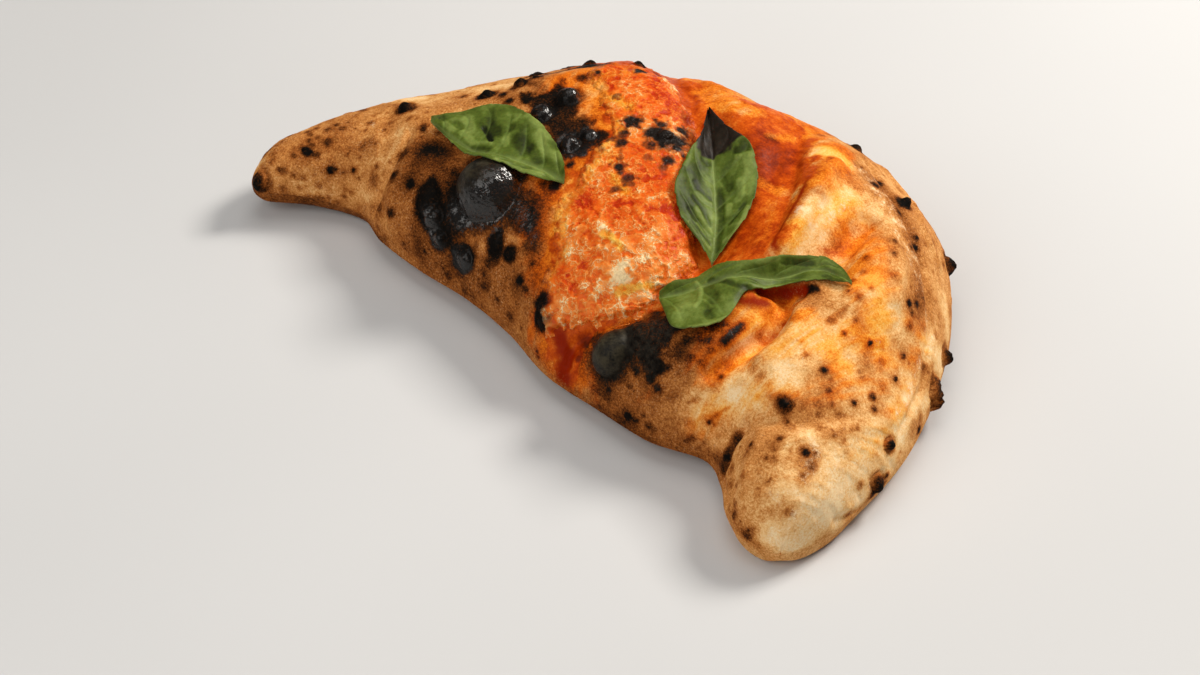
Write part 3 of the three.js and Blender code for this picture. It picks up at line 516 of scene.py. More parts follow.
def crust_points(t, phi):
    """Points of the crust at t along the body and angle phi round it."""
    row = rows(RIBS, t)
    inner, outer = row[:, 0:2], row[:, 2:4]
    height, crest, rise = row[:, 4], row[:, 5], np.maximum(row[:, 6], 0)
    end = np.minimum(np.minimum(t / LEFT_CAP, (1 - t) / FRONT_CAP), 1)
    cap = np.sqrt(np.clip(1 - (1 - end) ** 2, 0, 1))
    s = np.cos(phi)
    plan = (inner + outer) / 2 + (outer - inner) / 2 * (s * cap)[:, None]
    edge = np.minimum(EDGE_HEIGHT, height * 0.35)
    under = edge * np.clip((np.abs(s) - 0.75) / 0.25, 0, 1) ** 2.2
    low = rise + edge - (edge - under) * np.sqrt(cap)
    inward = np.clip((crest - s) / (1 + crest), 0, 1)
    outward = np.clip((s - crest) / (1 - crest), 0, 1)
    curve = np.where(s < crest, (1 - inward ** 2.3) ** 0.5, (1 - outward ** 2.2) ** (1 / 1.7))
    form = relief(plan) * smooth(0.05, 0.55, np.sin(phi))
    high = rise + edge + (height - edge) * curve * cap + form
    return np.column_stack([plan, np.where(np.sin(phi) < -1e-9, low, high)])


def crust_normals(t, phi):
    mid = np.clip(t, 0.006, 0.994)
    along = crust_points(mid + 0.002, phi) - crust_points(mid - 0.002, phi)
    across = crust_points(mid, phi + 0.02) - crust_points(mid, phi - 0.02)
    normal = np.cross(across, along)
    return normal / np.linalg.norm(normal, axis=1, keepdims=True)


def locate(plan):
    """Place along the body and angle round it of plan points on the upper side."""
    x, y = plan.T
    low = np.full(x.shape, 0.06)
    high = np.full(x.shape, 0.94)
    for _ in range(30):
        mid = (low + high) / 2
        row = rows(RIBS, mid)
        side = (row[:, 2] - row[:, 0]) * (y - row[:, 1]) - (row[:, 3] - row[:, 1]) * (x - row[:, 0])
        high = np.where(side > 0, mid, high)
        low = np.where(side > 0, low, mid)
    t = (low + high) / 2
    row = rows(RIBS, t)
    span = row[:, 2:4] - row[:, 0:2]
    offset = plan - (row[:, 0:2] + row[:, 2:4]) / 2
    s = 2 * np.sum(offset * span, axis=1) / np.sum(span * span, axis=1)
    return t, np.arccos(np.clip(s, -1, 1))


def unrolled(t, phi):
    """Places on the crust in mm along the body and round it."""
    row = rows(RIBS, t)
    around = np.hypot(row[:, 2] - row[:, 0], row[:, 3] - row[:, 1]) + 1.2 * row[:, 4]
    return np.column_stack([t * BODY_LENGTH, phi / math.pi * around])


def crust_grid():
    def eased(cap):
        return cap * (1 - np.cos(np.linspace(0, math.pi / 2, CAP_RINGS + 1)[1:]))
    middle = np.linspace(LEFT_CAP, 1 - FRONT_CAP, RINGS - 2 * CAP_RINGS + 2)[1:-1]
    t = np.concatenate([eased(LEFT_CAP), middle, 1 - eased(FRONT_CAP)[::-1]])
    phi = np.concatenate([np.linspace(0, math.pi, TOP_STEPS, endpoint=False),
                          np.linspace(math.pi, 2 * math.pi, BASE_STEPS, endpoint=False)])
    grid_t, grid_phi = np.meshgrid(t, phi, indexing="ij")
    return grid_t.ravel(), grid_phi.ravel(), len(t), len(phi)


def ring_faces(count, around):
    """Quads of rings of points, with the two pole points last, closed by triangles."""
    i, j = np.meshgrid(np.arange(count - 1), np.arange(around), indexing="ij")
    k = (j + 1) % around
    quads = np.stack([i * around + j, i * around + k, (i + 1) * around + k, (i + 1) * around + j], axis=-1)
    j = np.arange(around)
    k = (j + 1) % around
    first = np.full(around, count * around)
    end = (count - 1) * around
    tops = np.column_stack([first, k, j])
    tails = np.column_stack([first + 1, end + j, end + k])
    return quads.reshape(-1, 4).tolist() + tops.tolist() + tails.tolist()


# ---------------------------------------------------------------- picture to surface

def camera_axes():
    """Where the camera is, and its forward, right and up directions."""
    right = np.array([math.cos(AZIMUTH), math.sin(AZIMUTH), 0])
    flat = np.array([-right[1], right[0], 0])
    forward = flat * math.cos(ELEVATION) - np.array([0, 0, math.sin(ELEVATION)])
    return TARGET - forward * DISTANCE, forward, right, np.cross(right, forward)


class Surface:
    """A smooth surface, asked for the point under a pixel of the picture."""

    def __init__(self, points, faces):
        self.tree = BVHTree.FromPolygons(points.tolist(), faces)
        self.points = points
        self.eye, self.forward, self.right, self.up = camera_axes()

    def under(self, x, y):
        """The surface point seen at a picture pixel, or the nearest one to that line of sight."""
        ray = self.forward + self.right * (x - PHOTO_WIDTH / 2) / FOCAL
        ray = ray - self.up * (y - PHOTO_HEIGHT / 2) / FOCAL
        ray = ray / np.linalg.norm(ray)
        hit = self.tree.ray_cast(Vector(self.eye), Vector(ray))[0]
        if hit is not None:
            return np.array(hit)
        along = (self.points - self.eye) @ ray
        away = np.linalg.norm(self.points - self.eye - along[:, None] * ray, axis=1)
        return self.points[np.argmin(away)]

    def size(self, place, pixels):
        return pixels * ((place - self.eye) @ self.forward) / FOCAL


def fine_path(path):
    """A path with points added so that no step is longer than a few pixels."""
    out = [path[0]]
    for (ax, ay), (bx, by) in zip(path[:-1], path[1:]):
        count = max(1, math.ceil(math.hypot(bx - ax, by - ay) / LONGEST_STEP))
        out += [(ax + (bx - ax) * k / count, ay + (by - ay) * k / count) for k in range(1, count + 1)]
    return out


def brush(surface, points, path, pixels):
    """Distance of points from a path of picture pixels laid on the surface, in brush radii."""
    places = np.array([surface.under(x, y) for x, y in fine_path(pairs(path))])
    best = np.full(len(points), 1e9)
    for start, end in zip(places, places[1:]):
        best = np.minimum(best, segment(points, start, end)[1])
    return np.sqrt(best) / surface.size(places[0], pixels)


def painted(surface, points, table, wobble, summed):
    """Strokes with edges moved by wobble: added up, or as much as the strongest at each point."""
    total = np.zeros(len(points))
    for amount, pixels, *path in table:
        away = brush(surface, points, path, pixels) + wobble
        strength = amount * np.exp(-np.clip(away, 0, None) ** 2)
        total = total + strength if summed else np.maximum(total, strength)
    return total


def spot_distance(surface, points, x, y, pixels):
    place = surface.under(x, y)
    return np.linalg.norm(points - place, axis=1) / surface.size(place, pixels)


def region(surface, outline, points, flat):
    """Distance in mm inside an outline drawn in picture pixels, below 0 outside it, on the unrolled crust."""
    seen = [surface.under(x, y) for x, y in pairs(outline)]
    corners = flat[[np.argmin(np.sum((points - point) ** 2, axis=1)) for point in seen]]
    a, b = flat.T
    inside = np.zeros(len(flat), bool)
    nearest = np.full(len(flat), 1e9)
    for start, end in zip(corners, np.roll(corners, -1, axis=0)):
        run = end - start
        crossing = start[0] + run[0] * (b - start[1]) / (run[1] or SHORTEST_RUN)
        inside ^= ((start[1] > b) != (end[1] > b)) & (a < crossing)
        nearest = np.minimum(nearest, segment(flat, start, end)[1])
    return np.where(inside, 1, -1) * np.sqrt(nearest)


# ---------------------------------------------------------------- meshes

def make_mesh(name, points, faces, attributes):
    mesh = bpy.data.meshes.new(name)
    mesh.from_pydata(((points - PLAN_CENTRE) * MM).tolist(), [], faces)
    mesh.validate()
    for key, values in attributes.items():
        layer = mesh.attributes.new(key, "FLOAT", "POINT")
        layer.data.foreach_set("value", np.clip(values, 0, 1).astype(np.float32))
    mesh.polygons.foreach_set("use_smooth", np.ones(len(mesh.polygons), bool))
    mesh.update()
    piece = bpy.data.objects.new(name, mesh)
    bpy.context.scene.collection.objects.link(piece)
    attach(piece, "root")
    return piece


def dome(away, radius, height):
    """Height of a bubble's cap at a distance from its middle."""
    ball = (radius ** 2 + height ** 2) / (2 * height)
    return np.sqrt(np.clip(ball ** 2 - away ** 2, 0, None)) - (ball - height)


def skin_noise(points, flat):
    """The random fields that all of the crust's colours and forms share."""
    streak_place = np.column_stack([flat[:, 0] / 1.7, flat[:, 1] / 15, np.zeros(len(flat))])
    return dict(
        coarse=fbm(points, 26, 3, SEED), medium=fbm(points, 9, 3, SEED + 1),
        fine=fbm(points, 3.2, 3, SEED + 2), streak=fbm(streak_place, 1.0, 3, SEED + 4))


def burnt_spots(surface, points, fields):
    """Darkness and height of the named spots."""
    dark, lift = np.zeros((2, len(points)))
    ragged = np.maximum(1 + 0.32 * fields["fine"] + 0.34 * fields["medium"], 0.5)
    for x, y, pixels, darkness, height in SPOTS:
        away = spot_distance(surface, points, x, y, pixels) * ragged
        core = darkness * np.exp(-(np.clip(away - 0.25, 0, None) * 1.25) ** 2)
        ring = 0.4 * darkness * np.exp(-(away / 1.7) ** 2)
        dark = np.maximum(dark, np.maximum(core, ring))
        lift += height * np.clip(1 - away ** 2, 0, 1)
    return dark, lift


def freckles(points, phi, tone, fine):
    """Darkness of small freckles scattered over the upper side, except where the dough is pale."""
    chooser = np.random.default_rng(SEED)
    dark = np.zeros(len(points))
    for index in chooser.choice(len(points), FRECKLES, replace=False):
        radius = chooser.uniform(0.5, 2.2)
        strength = chooser.uniform(0.05, 0.3)
        if math.sin(phi[index]) < 0.02 or tone[index] < 0.3:
            continue
        close = np.abs(points - points[index]).max(axis=1) < radius * 2.5
        away = np.linalg.norm(points[close] - points[index], axis=1) * (1 + 0.35 * fine[close])
        dark[close] = np.maximum(dark[close], strength * np.exp(-(away / radius) ** 2))
    return dark


def raise_bubbles(points, fields):
    """Push out the bubbles: shift, how far inside and how near to one, the groove round it and its ash."""
    shift = np.zeros_like(points)
    inside, near, groove, ash = np.zeros((4, len(points)))
    along, angle = np.array(BUBBLES).T[:2]
    angle = np.radians(angle)
    middles = crust_points(along, angle)
    rounds = crust_points(along, angle + 0.03) - crust_points(along, angle - 0.03)
    uneven = 0.12 * fields["fine"] + 0.16 * fields["medium"]
    for row, middle, way, turn in zip(BUBBLES, middles, crust_normals(along, angle), rounds):
        _, _, radius, height, stretch, crag = row
        turn = turn / np.linalg.norm(turn)
        offset = points - middle
        up = offset @ way
        flat = offset - up[:, None] * way
        over = flat @ turn
        flat = np.sqrt(np.clip(np.sum(flat * flat, axis=1) - over ** 2 * (1 - stretch ** -2), 0, None))
        away = np.hypot(flat, np.minimum(up, 0) * 0.5) * (1 + crag * uneven)
        lift = np.clip(dome(away, radius, height) - np.maximum(up, 0) * 0.3, 0, None)
        lift *= 1 + 0.3 * crag * (fields["fine"] + fields["medium"])
        shift += np.where(away < radius * 1.02, lift, 0)[:, None] * way
        small = smooth(8, 3.5, radius)
        covered = smooth(radius * (1.12 + 0.2 * small), radius * (0.85 - 0.3 * small), away)
        inside = np.maximum(inside, covered)
        ash = np.maximum(ash, covered * (1 - 0.85 * small))
        near = np.maximum(near, np.exp(-(np.clip(away - radius * 0.9, 0, None) / (1.0 + 0.3 * radius)) ** 2))
        groove = np.maximum(groove, np.exp(-((away - radius * 1.06) / (0.08 * radius + 0.3)) ** 2))
    return shift, inside, near, groove, ash


def skin_relief(surface, points, fields, tone):
    """Heights of the named forms, and of small swells and pimples, more of them where the skin is burnt."""
    coarse, medium, fine = (fields[key] for key in ("coarse", "medium", "fine"))
    swell, number = domes(points + 0.8 * fine[:, None], 6.0, SEED + 12, 0.45)
    swell = swell * smooth(0.55, 1.0, number)
    pimples, number = domes(points, 2.6, SEED + 15, 0.4)
    pimples = pimples * smooth(0.4, 1.0, number) * (0.12 + 0.5 * smooth(0.55, 0.95, tone))
    move = 0.45 * coarse + 0.22 * medium + 0.1 * fine + 0.45 * swell + pimples
    for height, pixels, *path in FORMS:
        move += height * np.exp(-(brush(surface, points, path, pixels) + 0.1 * medium) ** 2)
    return move


def build_crust():
    t, phi, count, around = crust_grid()
    points = crust_points(t, phi)
    normals = crust_normals(t, phi)
    poles = crust_points(np.array([0.0, 1.0]), np.array([0.0, 0.0]))
    faces = ring_faces(count, around)
    surface = Surface(np.vstack([points, poles]), faces)
    flat = unrolled(t, phi)
    upper = smooth(-0.15, 0.2, np.sin(phi))
    fields = skin_noise(points, flat)
    coarse, medium, fine, streak = (fields[key] for key in ("coarse", "medium", "fine", "streak"))
    ragged = 3.2 * medium + 2 * fine + 2 * coarse
    wobble = 0.22 * medium + 0.12 * fine + 0.18 * coarse

    amounts = {kind: painted(surface, points, table, wobble, kind == "tone")
               for kind, table in STROKES.items()}
    saucy = region(surface, SAUCE, points, flat)
    sauce = smooth(-5, 6, saucy + ragged * 1.3)
    sauce = np.maximum(sauce * (1 - amounts["gold"]), amounts["sauce"]) * upper
    oil = np.clip(np.maximum(amounts["oil"], smooth(-22, 0, saucy + ragged)), 0, 1)
    oil = oil * (0.85 + 0.4 * medium + 0.3 * streak) * upper
    stretched = np.clip(-amounts["tone"] * 3, 0, 1) * smooth(0.6, 0.66, t)

    tone = 0.45 + amounts["tone"] + 0.06 * coarse + 0.08 * medium + 0.05 * fine + 0.09 * streak * stretched
    burnt = 0.88 * smooth(-6, 7, region(surface, CHAR_LEFT, points, flat) + ragged)
    burnt = np.maximum(burnt, smooth(-2, 4, region(surface, CHAR_CLUSTER, points, flat) + ragged * 0.8))
    char = 0.95 * smooth(-6, 7, region(surface, CHAR_FRONT, points, flat) + ragged)
    spots, spot_lift = burnt_spots(surface, points, fields)
    shift, inside, near, groove, ash = raise_bubbles(points, fields)
    burnt = np.maximum.reduce([burnt, char, inside * 0.92])
    tone = tone + spots + freckles(points, phi, tone, fine) + 0.36 * near
    tone = np.maximum(tone, 0.35 * tone + 0.75 * burnt)
    sauce = sauce * (1 - smooth(0.5, 0.9, burnt))
    tone = np.where(tone < 0.3, 0.3 - (0.3 - tone) * 0.5, tone)
    # brown underside, lighter under the front horn; along the lower inner edge its dark tone is partly
    # painted shade
    under = 0.7 - 0.3 * smooth(0.76, 0.88, t) + 0.06 * medium
    tone = tone * upper + np.maximum(under, 0.95 * inside) * (1 - upper)

    move = skin_relief(surface, points, fields, tone) + 0.25 * streak * stretched + spot_lift
    lumps, number = domes(points + 0.4 * fine[:, None], 2.8, SEED + 18, 0.5)
    lumps = lumps * (0.4 + 0.6 * number)
    move = move * (1 - 0.75 * inside) - 0.5 * groove + 0.9 * lumps * amounts["tar"]
    shift += (move * upper)[:, None] * normals
    final = np.vstack([points + shift, poles])
    final[:, 2] = np.maximum(final[:, 2], 0)

    paint = dict(tone=tone, oil=oil, sauce=sauce, deep=amounts["deep"], painted_glare=amounts["painted_glare"])
    attributes = dict(paint, ash=ash, tar=amounts["tar"], char=char)
    attributes = {key: np.append(values, [0.5, 0.5]) for key, values in attributes.items()}
    piece = make_mesh("crust_skin", final, faces, attributes)
    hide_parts("crust")
    return piece, surface, BVHTree.FromPolygons(final.tolist(), faces), paint

def sheet_faces(n, m):
    """Quads of one side of an n by m grid of points."""
    i, j = np.meshgrid(np.arange(n - 1), np.arange(m - 1), indexing="ij")
    quads = np.stack([i * m + j, i * m + j + 1, (i + 1) * m + j + 1, (i + 1) * m + j], axis=-1)
    return quads.reshape(-1, 4)


def band_plan(u, v):
    """Plan places at u along the band and v across it, also a little way beyond its two ends."""
    row = rows(BAND, u)
    shrink = 1 - 0.22 * smooth(0.86, 1.04, u)
    waver = 0.02 * np.sin(u * 31) + 0.013 * np.sin(u * 57 + 2)
    w = 0.5 + (v - 0.5) * shrink + waver
    plan = row[:, 0:2] + (row[:, 2:4] - row[:, 0:2]) * w[:, None]
    beyond = np.where(u < 0, u, np.where(u > 1, u - 1, 0))
    return plan + beyond[:, None] * np.where(u[:, None] < 0.5, [FRONT_OVERRUN], [BACK_OVERRUN])


def inside_band(u, v):
    """Distances in mm inside the band from its long rims, and from its whole outline with round corners."""
    row = rows(BAND, u)
    across = np.minimum(v, 1 - v) * np.hypot(*(row[:, 2:4] - row[:, 0:2]).T)
    lengthwise = np.minimum(u, 1 - u) * BAND_LENGTH
    least = np.minimum(across, lengthwise)
    corner = 1 / np.hypot(1 / np.maximum(across, 0.1), 1 / np.maximum(lengthwise, 0.1))
    return across, np.where(least > 0, corner, least)


def paint_under(surface, points, paint):
    """The crust's paint at the places of its smooth surface nearest to the points."""
    count = len(paint["tone"])
    tree = KDTree(count)
    for index, place in enumerate(surface.points[:count].tolist()):
        tree.insert(place, index)
    tree.balance()
    nearest = np.array([tree.find(place)[1] for place in points.tolist()])
    return {key: values[nearest] for key, values in paint.items()}


def build_topping(surface, paint):
    n, m = BAND_STEPS
    u, v = np.meshgrid(np.linspace(-0.05, 1.05, n), np.linspace(-0.12, 1.12, m), indexing="ij")
    u, v = u.ravel(), v.ravel()
    t, phi = locate(band_plan(u, v))
    points = crust_points(t, phi)
    normals = crust_normals(t, phi)

    coarse, medium, fine = (fbm(points, size, 3, SEED + k) for size, k in ((16, 30), (6, 31), (2.0, 32)))
    warped = points + 2.2 * np.column_stack([fbm(points, 8, 3, SEED + k) for k in (40, 41, 42)])
    near, second, number = cells(warped, 5.4, SEED + 33)
    puddle = smooth(0.1, 0.5, second - near) * smooth(0.45, 0.75, number)
    strand = sum(k * np.exp(-(noise(warped + 30 * k, size, SEED + 34) / 0.13) ** 2)
                 for k, size in ((1.0, 7.0), (0.7, 3.6))) * smooth(-0.6, 0.6, coarse + 0.5 * medium)
    curd, number = domes(warped + 20, 2.6, SEED + 36, 0.6)
    curd = curd * (0.4 + 0.6 * number)

    wobble = 0.25 * medium + 0.2 * fine
    amounts = {kind: painted(surface, points, table, wobble, kind == "level")
               for kind, table in CHEESE_STROKES.items()}
    level = 0.44 + 0.14 * coarse + 0.12 * medium + 0.08 * fine + 0.2 * strand + 0.08 * curd - 0.12 * puddle
    level += amounts["level"]
    burns = amounts["burn"]
    for x, y, pixels, darkness in BURNS:
        away = spot_distance(surface, points, x, y, pixels) * np.maximum(1 + 0.4 * fine + 0.4 * medium, 0.4)
        burns = np.maximum(burns, darkness * np.exp(-(np.clip(away - 0.4, 0, None) * 1.2) ** 2))

    across, inside = inside_band(u, v)
    inside += (1.8 * medium + 1.6 * coarse) * (1 + smooth(0.12, 0.02, u)) + 0.9 * fine
    body = BAND_THICKNESS * 0.6 + 0.45 * coarse + 0.3 * medium + 0.12 * fine
    body += path_height(points[:, 0:2], BAND_LIP) + 0.3 * strand + 0.22 * curd - 0.2 * puddle
    reach = 6.0 + 1.5 * smooth(0.04, 0.2, u) + 2.0 * smooth(0.5, 0.9, v)
    lift = -SUNK_EDGE + (np.maximum(body, 0.4) + SUNK_EDGE) * smooth(-1.2, 1.0, inside / reach * 2.4)
    bubble_t, bubble_angle, radius, height = BAND_BUBBLE
    middle = crust_points(np.array([bubble_t]), np.radians([bubble_angle]))[0]
    away = np.linalg.norm(points - middle, axis=1)
    lift += np.clip(dome(away, radius, height), 0, None) * (away < radius)
    burns = np.maximum(burns, np.exp(-(np.clip(away / radius - 0.8, 0, None) / 0.6) ** 2))

    moved = points + normals * lift[:, None]
    left_rim = smooth(9, 3, across + 2 * medium) * (v < 0.5) * smooth(0.1, 0.22, u)
    amber = np.maximum(amounts["amber"], 0.7 * left_rim)
    edge = smooth(5.5, 1.5, inside) * smooth(0.06, 0.16, u + 0.1 * smooth(0.3, 0.1, v))
    attributes = dict(level=level, amber=amber, burn=burns, puddle=puddle, curd=curd, edge=edge)
    attributes.update(paint_under(surface, points, paint))
    faces = sheet_faces(n, m).tolist()
    piece = make_mesh("topping_skin", moved, faces, attributes)
    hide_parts("topping")
    return piece, BVHTree.FromPolygons(moved.tolist(), faces)


# ---------------------------------------------------------------- basil

def leaf_plan(leaf, u, v):
    """Plan places on a leaf at u from stem to tip and v from lower to upper edge, and half widths there."""
    stem = np.array(leaf["stem"], float)
    run = np.array(leaf["tip"], float) - stem
    lower, middle, upper = rows(np.array(leaf["rows"], float), u).T
    half = np.where(v < 0, middle - lower, upper - middle)
    teeth = 0.5 * (1 - (u * 11 + 0.3 * np.sin(u * 23)) % 1) * np.abs(v) ** 8 * smooth(0, 2, half)
    side = np.array([-run[1], run[0]]) / np.hypot(*run)
    return stem + u[:, None] * run + (middle + v * (half + teeth))[:, None] * side, half


def drape(plan, n, m, trees):
    """Heights of a limp sheet laid over the surfaces: it touches the high places and spans the low ones."""
    floor = np.zeros(len(plan))
    for k, (x, y) in enumerate(plan):
        for tree in trees:
            hit = tree.ray_cast(Vector((x, y, 200.0)), Vector((0, 0, -1)))[0]
            if hit is not None:
                floor[k] = max(floor[k], hit.z)
    floor = floor.reshape(n, m) + LEAF_GAP
    z = floor
    for step in range(RESTING_STEPS + EASING_STEPS):
        padded = np.pad(z, 1, mode="edge")
        z = (padded[:-2, 1:-1] + padded[2:, 1:-1] + padded[1:-1, :-2] + padded[1:-1, 2:]) / 4
        if step < RESTING_STEPS:
            z = np.maximum(floor, z)
    return z.ravel()


def sheet_solid(points, n, m, thickness):
    """Both faces of a thin sheet and the rim between them."""
    quads = sheet_faces(n, m)
    rim = np.concatenate([np.arange(m), np.arange(1, n) * m + m - 1, (n - 1) * m + np.arange(m - 2, -1, -1),
                          np.arange(n - 2, 0, -1) * m])
    ring = np.roll(rim, -1)
    size = n * m
    sides = np.column_stack([rim, rim + size, ring + size, ring])
    faces = np.vstack([quads[:, ::-1], quads + size, sides[:, ::-1]])
    return np.vstack([points, points - [0, 0, thickness]]), faces.tolist()


def build_leaf(name, leaf, trees, seed):
    n, m = LEAF_STEPS
    even = np.linspace(0, 1, n)
    u = 0.006 + 0.988 * (0.6 * even + 0.2 * (1 - np.cos(math.pi * even)))
    u, v = (a.ravel() for a in np.meshgrid(u, np.linspace(-1, 1, m), indexing="ij"))
    plan, half = leaf_plan(leaf, u, v)
    points = np.column_stack([plan, drape(plan, n, m, trees)])

    length = math.dist(leaf["stem"], leaf["tip"])
    phase = ((u - 0.22 * np.abs(v) ** 1.3) * leaf["veins"] + 0.12 * np.sin(v * 5 + seed)) % 1
    inner = smooth(1.0, 0.7, np.abs(v)) * smooth(0.0, 0.1, u) * smooth(1.0, 0.85, u)
    vein = np.exp(-(np.minimum(phase, 1 - phase) / leaf["veins"] * length / 0.5) ** 2) * inner
    midrib = np.exp(-(np.abs(v) * half / (0.45 + 0.7 * (1 - u))) ** 2)
    puff = np.sin(np.pi * phase) ** 0.8 * np.sin(np.pi * np.clip(np.abs(v), 0, 1)) ** 0.7 * smooth(2, 8, half)
    lift = np.where(v < 0, leaf["edge_lift"][0], leaf["edge_lift"][1]) * v * v
    wave = 0.5 * (1 + np.sin(u * 15 + v * 2 + seed)) * np.abs(v) ** 2
    broad = fbm(points, 16, 2, seed)
    points[:, 2] += lift + wave + leaf["tip_lift"] * u ** 3 + 0.8 * puff + 0.9 * broad * smooth(0, 8, half)
    points[:, 2] += 0.2 * fbm(points, 4, 2, seed + 1) - 0.5 * midrib - 0.15 * vein
    surface = Surface(points, sheet_faces(n, m).tolist())
    wobble = 0.15 * fbm(points, 4, 2, seed + 9)
    # painted sheen and painted shade from the leaf strokes, also used as a little relief
    shade = np.zeros(len(points))
    for amount, pixels, *path in LEAF_STROKES[name]:
        shade += amount * smooth(1.35, 0.45, brush(surface, points, path, pixels) + wobble)
    points[:, 2] += 0.7 * shade * smooth(0, 5, half)
    edge = leaf["burnt"] + 0.08 * np.abs(v) + 0.04 * fbm(points, 5, 3, seed + 5)
    paint = dict(vein=vein, midrib=midrib, shade=0.48 + 0.42 * shade, burnt=smooth(-0.015, 0.02, u - edge))
    attributes = {key: np.tile(values, 2) for key, values in paint.items()}
    attributes["under"] = np.repeat([0.0, 1.0], n * m)
    solid, faces = sheet_solid(points, n, m, LEAF_THICKNESS)
    piece = make_mesh(name + "_sheet", solid, faces, attributes)
    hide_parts(name)
    return piece


# ---------------------------------------------------------------- materials

def colour(red, green, blue):
    """Screen values from 0 to 255 as a linear colour."""
    parts = [v / 255 for v in (red, green, blue)]
    return tuple(v / 12.92 if v <= 0.04045 else ((v + 0.055) / 1.055) ** 2.4 for v in parts) + (1.0,)


class Value:
    """A number that a shader node gives, for sums with others and with plain numbers."""

    def __init__(self, graph, socket):
        self.graph = graph
        self.socket = socket

    def __add__(self, other):
        return self.graph.math("ADD", self, other)

    def __sub__(self, other):
        return self.graph.math("SUBTRACT", self, other)

    def __rsub__(self, other):
        return self.graph.math("SUBTRACT", other, self)

    def __mul__(self, other):
        return self.graph.math("MULTIPLY", self, other)

    __radd__ = __add__


class Graph:
    """Short names for the shader nodes of one material."""

    def __init__(self, name):
        self.material = bpy.data.materials.new(name)
        self.material.use_nodes = True
        self.tree = self.material.node_tree
        self.tree.nodes.clear()
        self.shader = self.node("ShaderNodeBsdfPrincipled")
        out = self.node("ShaderNodeOutputMaterial")
        self.tree.links.new(self.shader.outputs[0], out.inputs["Surface"])
        self.place = self.node("ShaderNodeTexCoord").outputs["Object"]

    def node(self, kind, **settings):
        made = self.tree.nodes.new(kind)
        for key, value in settings.items():
            setattr(made, key, value)
        return made

    def feed(self, socket, value):
        """Link a socket to a value or another socket, or set it to a number or to a screen colour."""
        if isinstance(value, Value):
            value = value.socket
        if isinstance(value, bpy.types.NodeSocket):
            self.tree.links.new(value, socket)
        else:
            socket.default_value = colour(*value) if isinstance(value, tuple) else value

    def attributes(self, *names):
        nodes = [self.node("ShaderNodeAttribute", attribute_name=name) for name in names]
        return [Value(self, made.outputs["Fac"]) for made in nodes]

    def math(self, operation, a, b=0.0, clamp=False):
        made = self.node("ShaderNodeMath", operation=operation, use_clamp=clamp)
        self.feed(made.inputs[0], a)
        self.feed(made.inputs[1], b)
        return Value(self, made.outputs[0])

    def noise(self, size, detail=3.0, roughness=0.55):
        """Noise with features of a size in mm."""
        made = self.node("ShaderNodeTexNoise")
        self.feed(made.inputs["Vector"], self.place)
        made.inputs["Scale"].default_value = 1 / (size * MM)
        made.inputs["Detail"].default_value = detail
        made.inputs["Roughness"].default_value = roughness
        return Value(self, made.outputs["Fac"])

    def cell(self, size):
        made = self.node("ShaderNodeTexVoronoi")
        self.feed(made.inputs["Vector"], self.place)
        made.inputs["Scale"].default_value = 1 / (size * MM)
        return Value(self, made.outputs["Distance"])

    def spread(self, value, low, high):
        """A smooth step from 0 to 1 as the value goes from low to high."""
        made = self.node("ShaderNodeMapRange", interpolation_type="SMOOTHSTEP")
        self.feed(made.inputs["Value"], value)
        made.inputs["From Min"].default_value = low
        made.inputs["From Max"].default_value = high
        return Value(self, made.outputs["Result"])

    def ramp(self, value, *stops):
        """Colour by value; each stop is its position, then red, green and blue on screen."""
        made = self.node("ShaderNodeValToRGB")
        self.feed(made.inputs["Fac"], value)
        elements = made.color_ramp.elements
        while len(elements) < len(stops):
            elements.new(0.5)
        for element, (position, *shade) in zip(elements, stops):
            element.position = position
            element.color = colour(*shade)
        return made.outputs["Color"]

    def mix(self, factor, a, b):
        made = self.node("ShaderNodeMix", data_type="RGBA")
        for socket, value in zip((0, 6, 7), (factor, a, b)):
            self.feed(made.inputs[socket], value)
        return made.outputs[2]

    def bumps(self, *layers):
        """A normal from bumps laid one on another; each is its height, distance in mm and strength."""
        normal = None
        for height, distance, strength in layers:
            made = self.node("ShaderNodeBump")
            made.inputs["Strength"].default_value = strength
            made.inputs["Distance"].default_value = distance * MM
            self.feed(made.inputs["Height"], height)
            if normal is not None:
                self.feed(made.inputs["Normal"], normal)
            normal = made.outputs["Normal"]
        return normal

    def surface(self, **inputs):
        for key, value in inputs.items():
            self.feed(self.shader.inputs[key.replace("_", " ")], value)
        return self.material


def shifted(value, *parts):
    """A value moved up and down by noises, each with the range it moves the value over."""
    for part, amount in parts:
        value = value + (part - 0.5) * amount
    return value


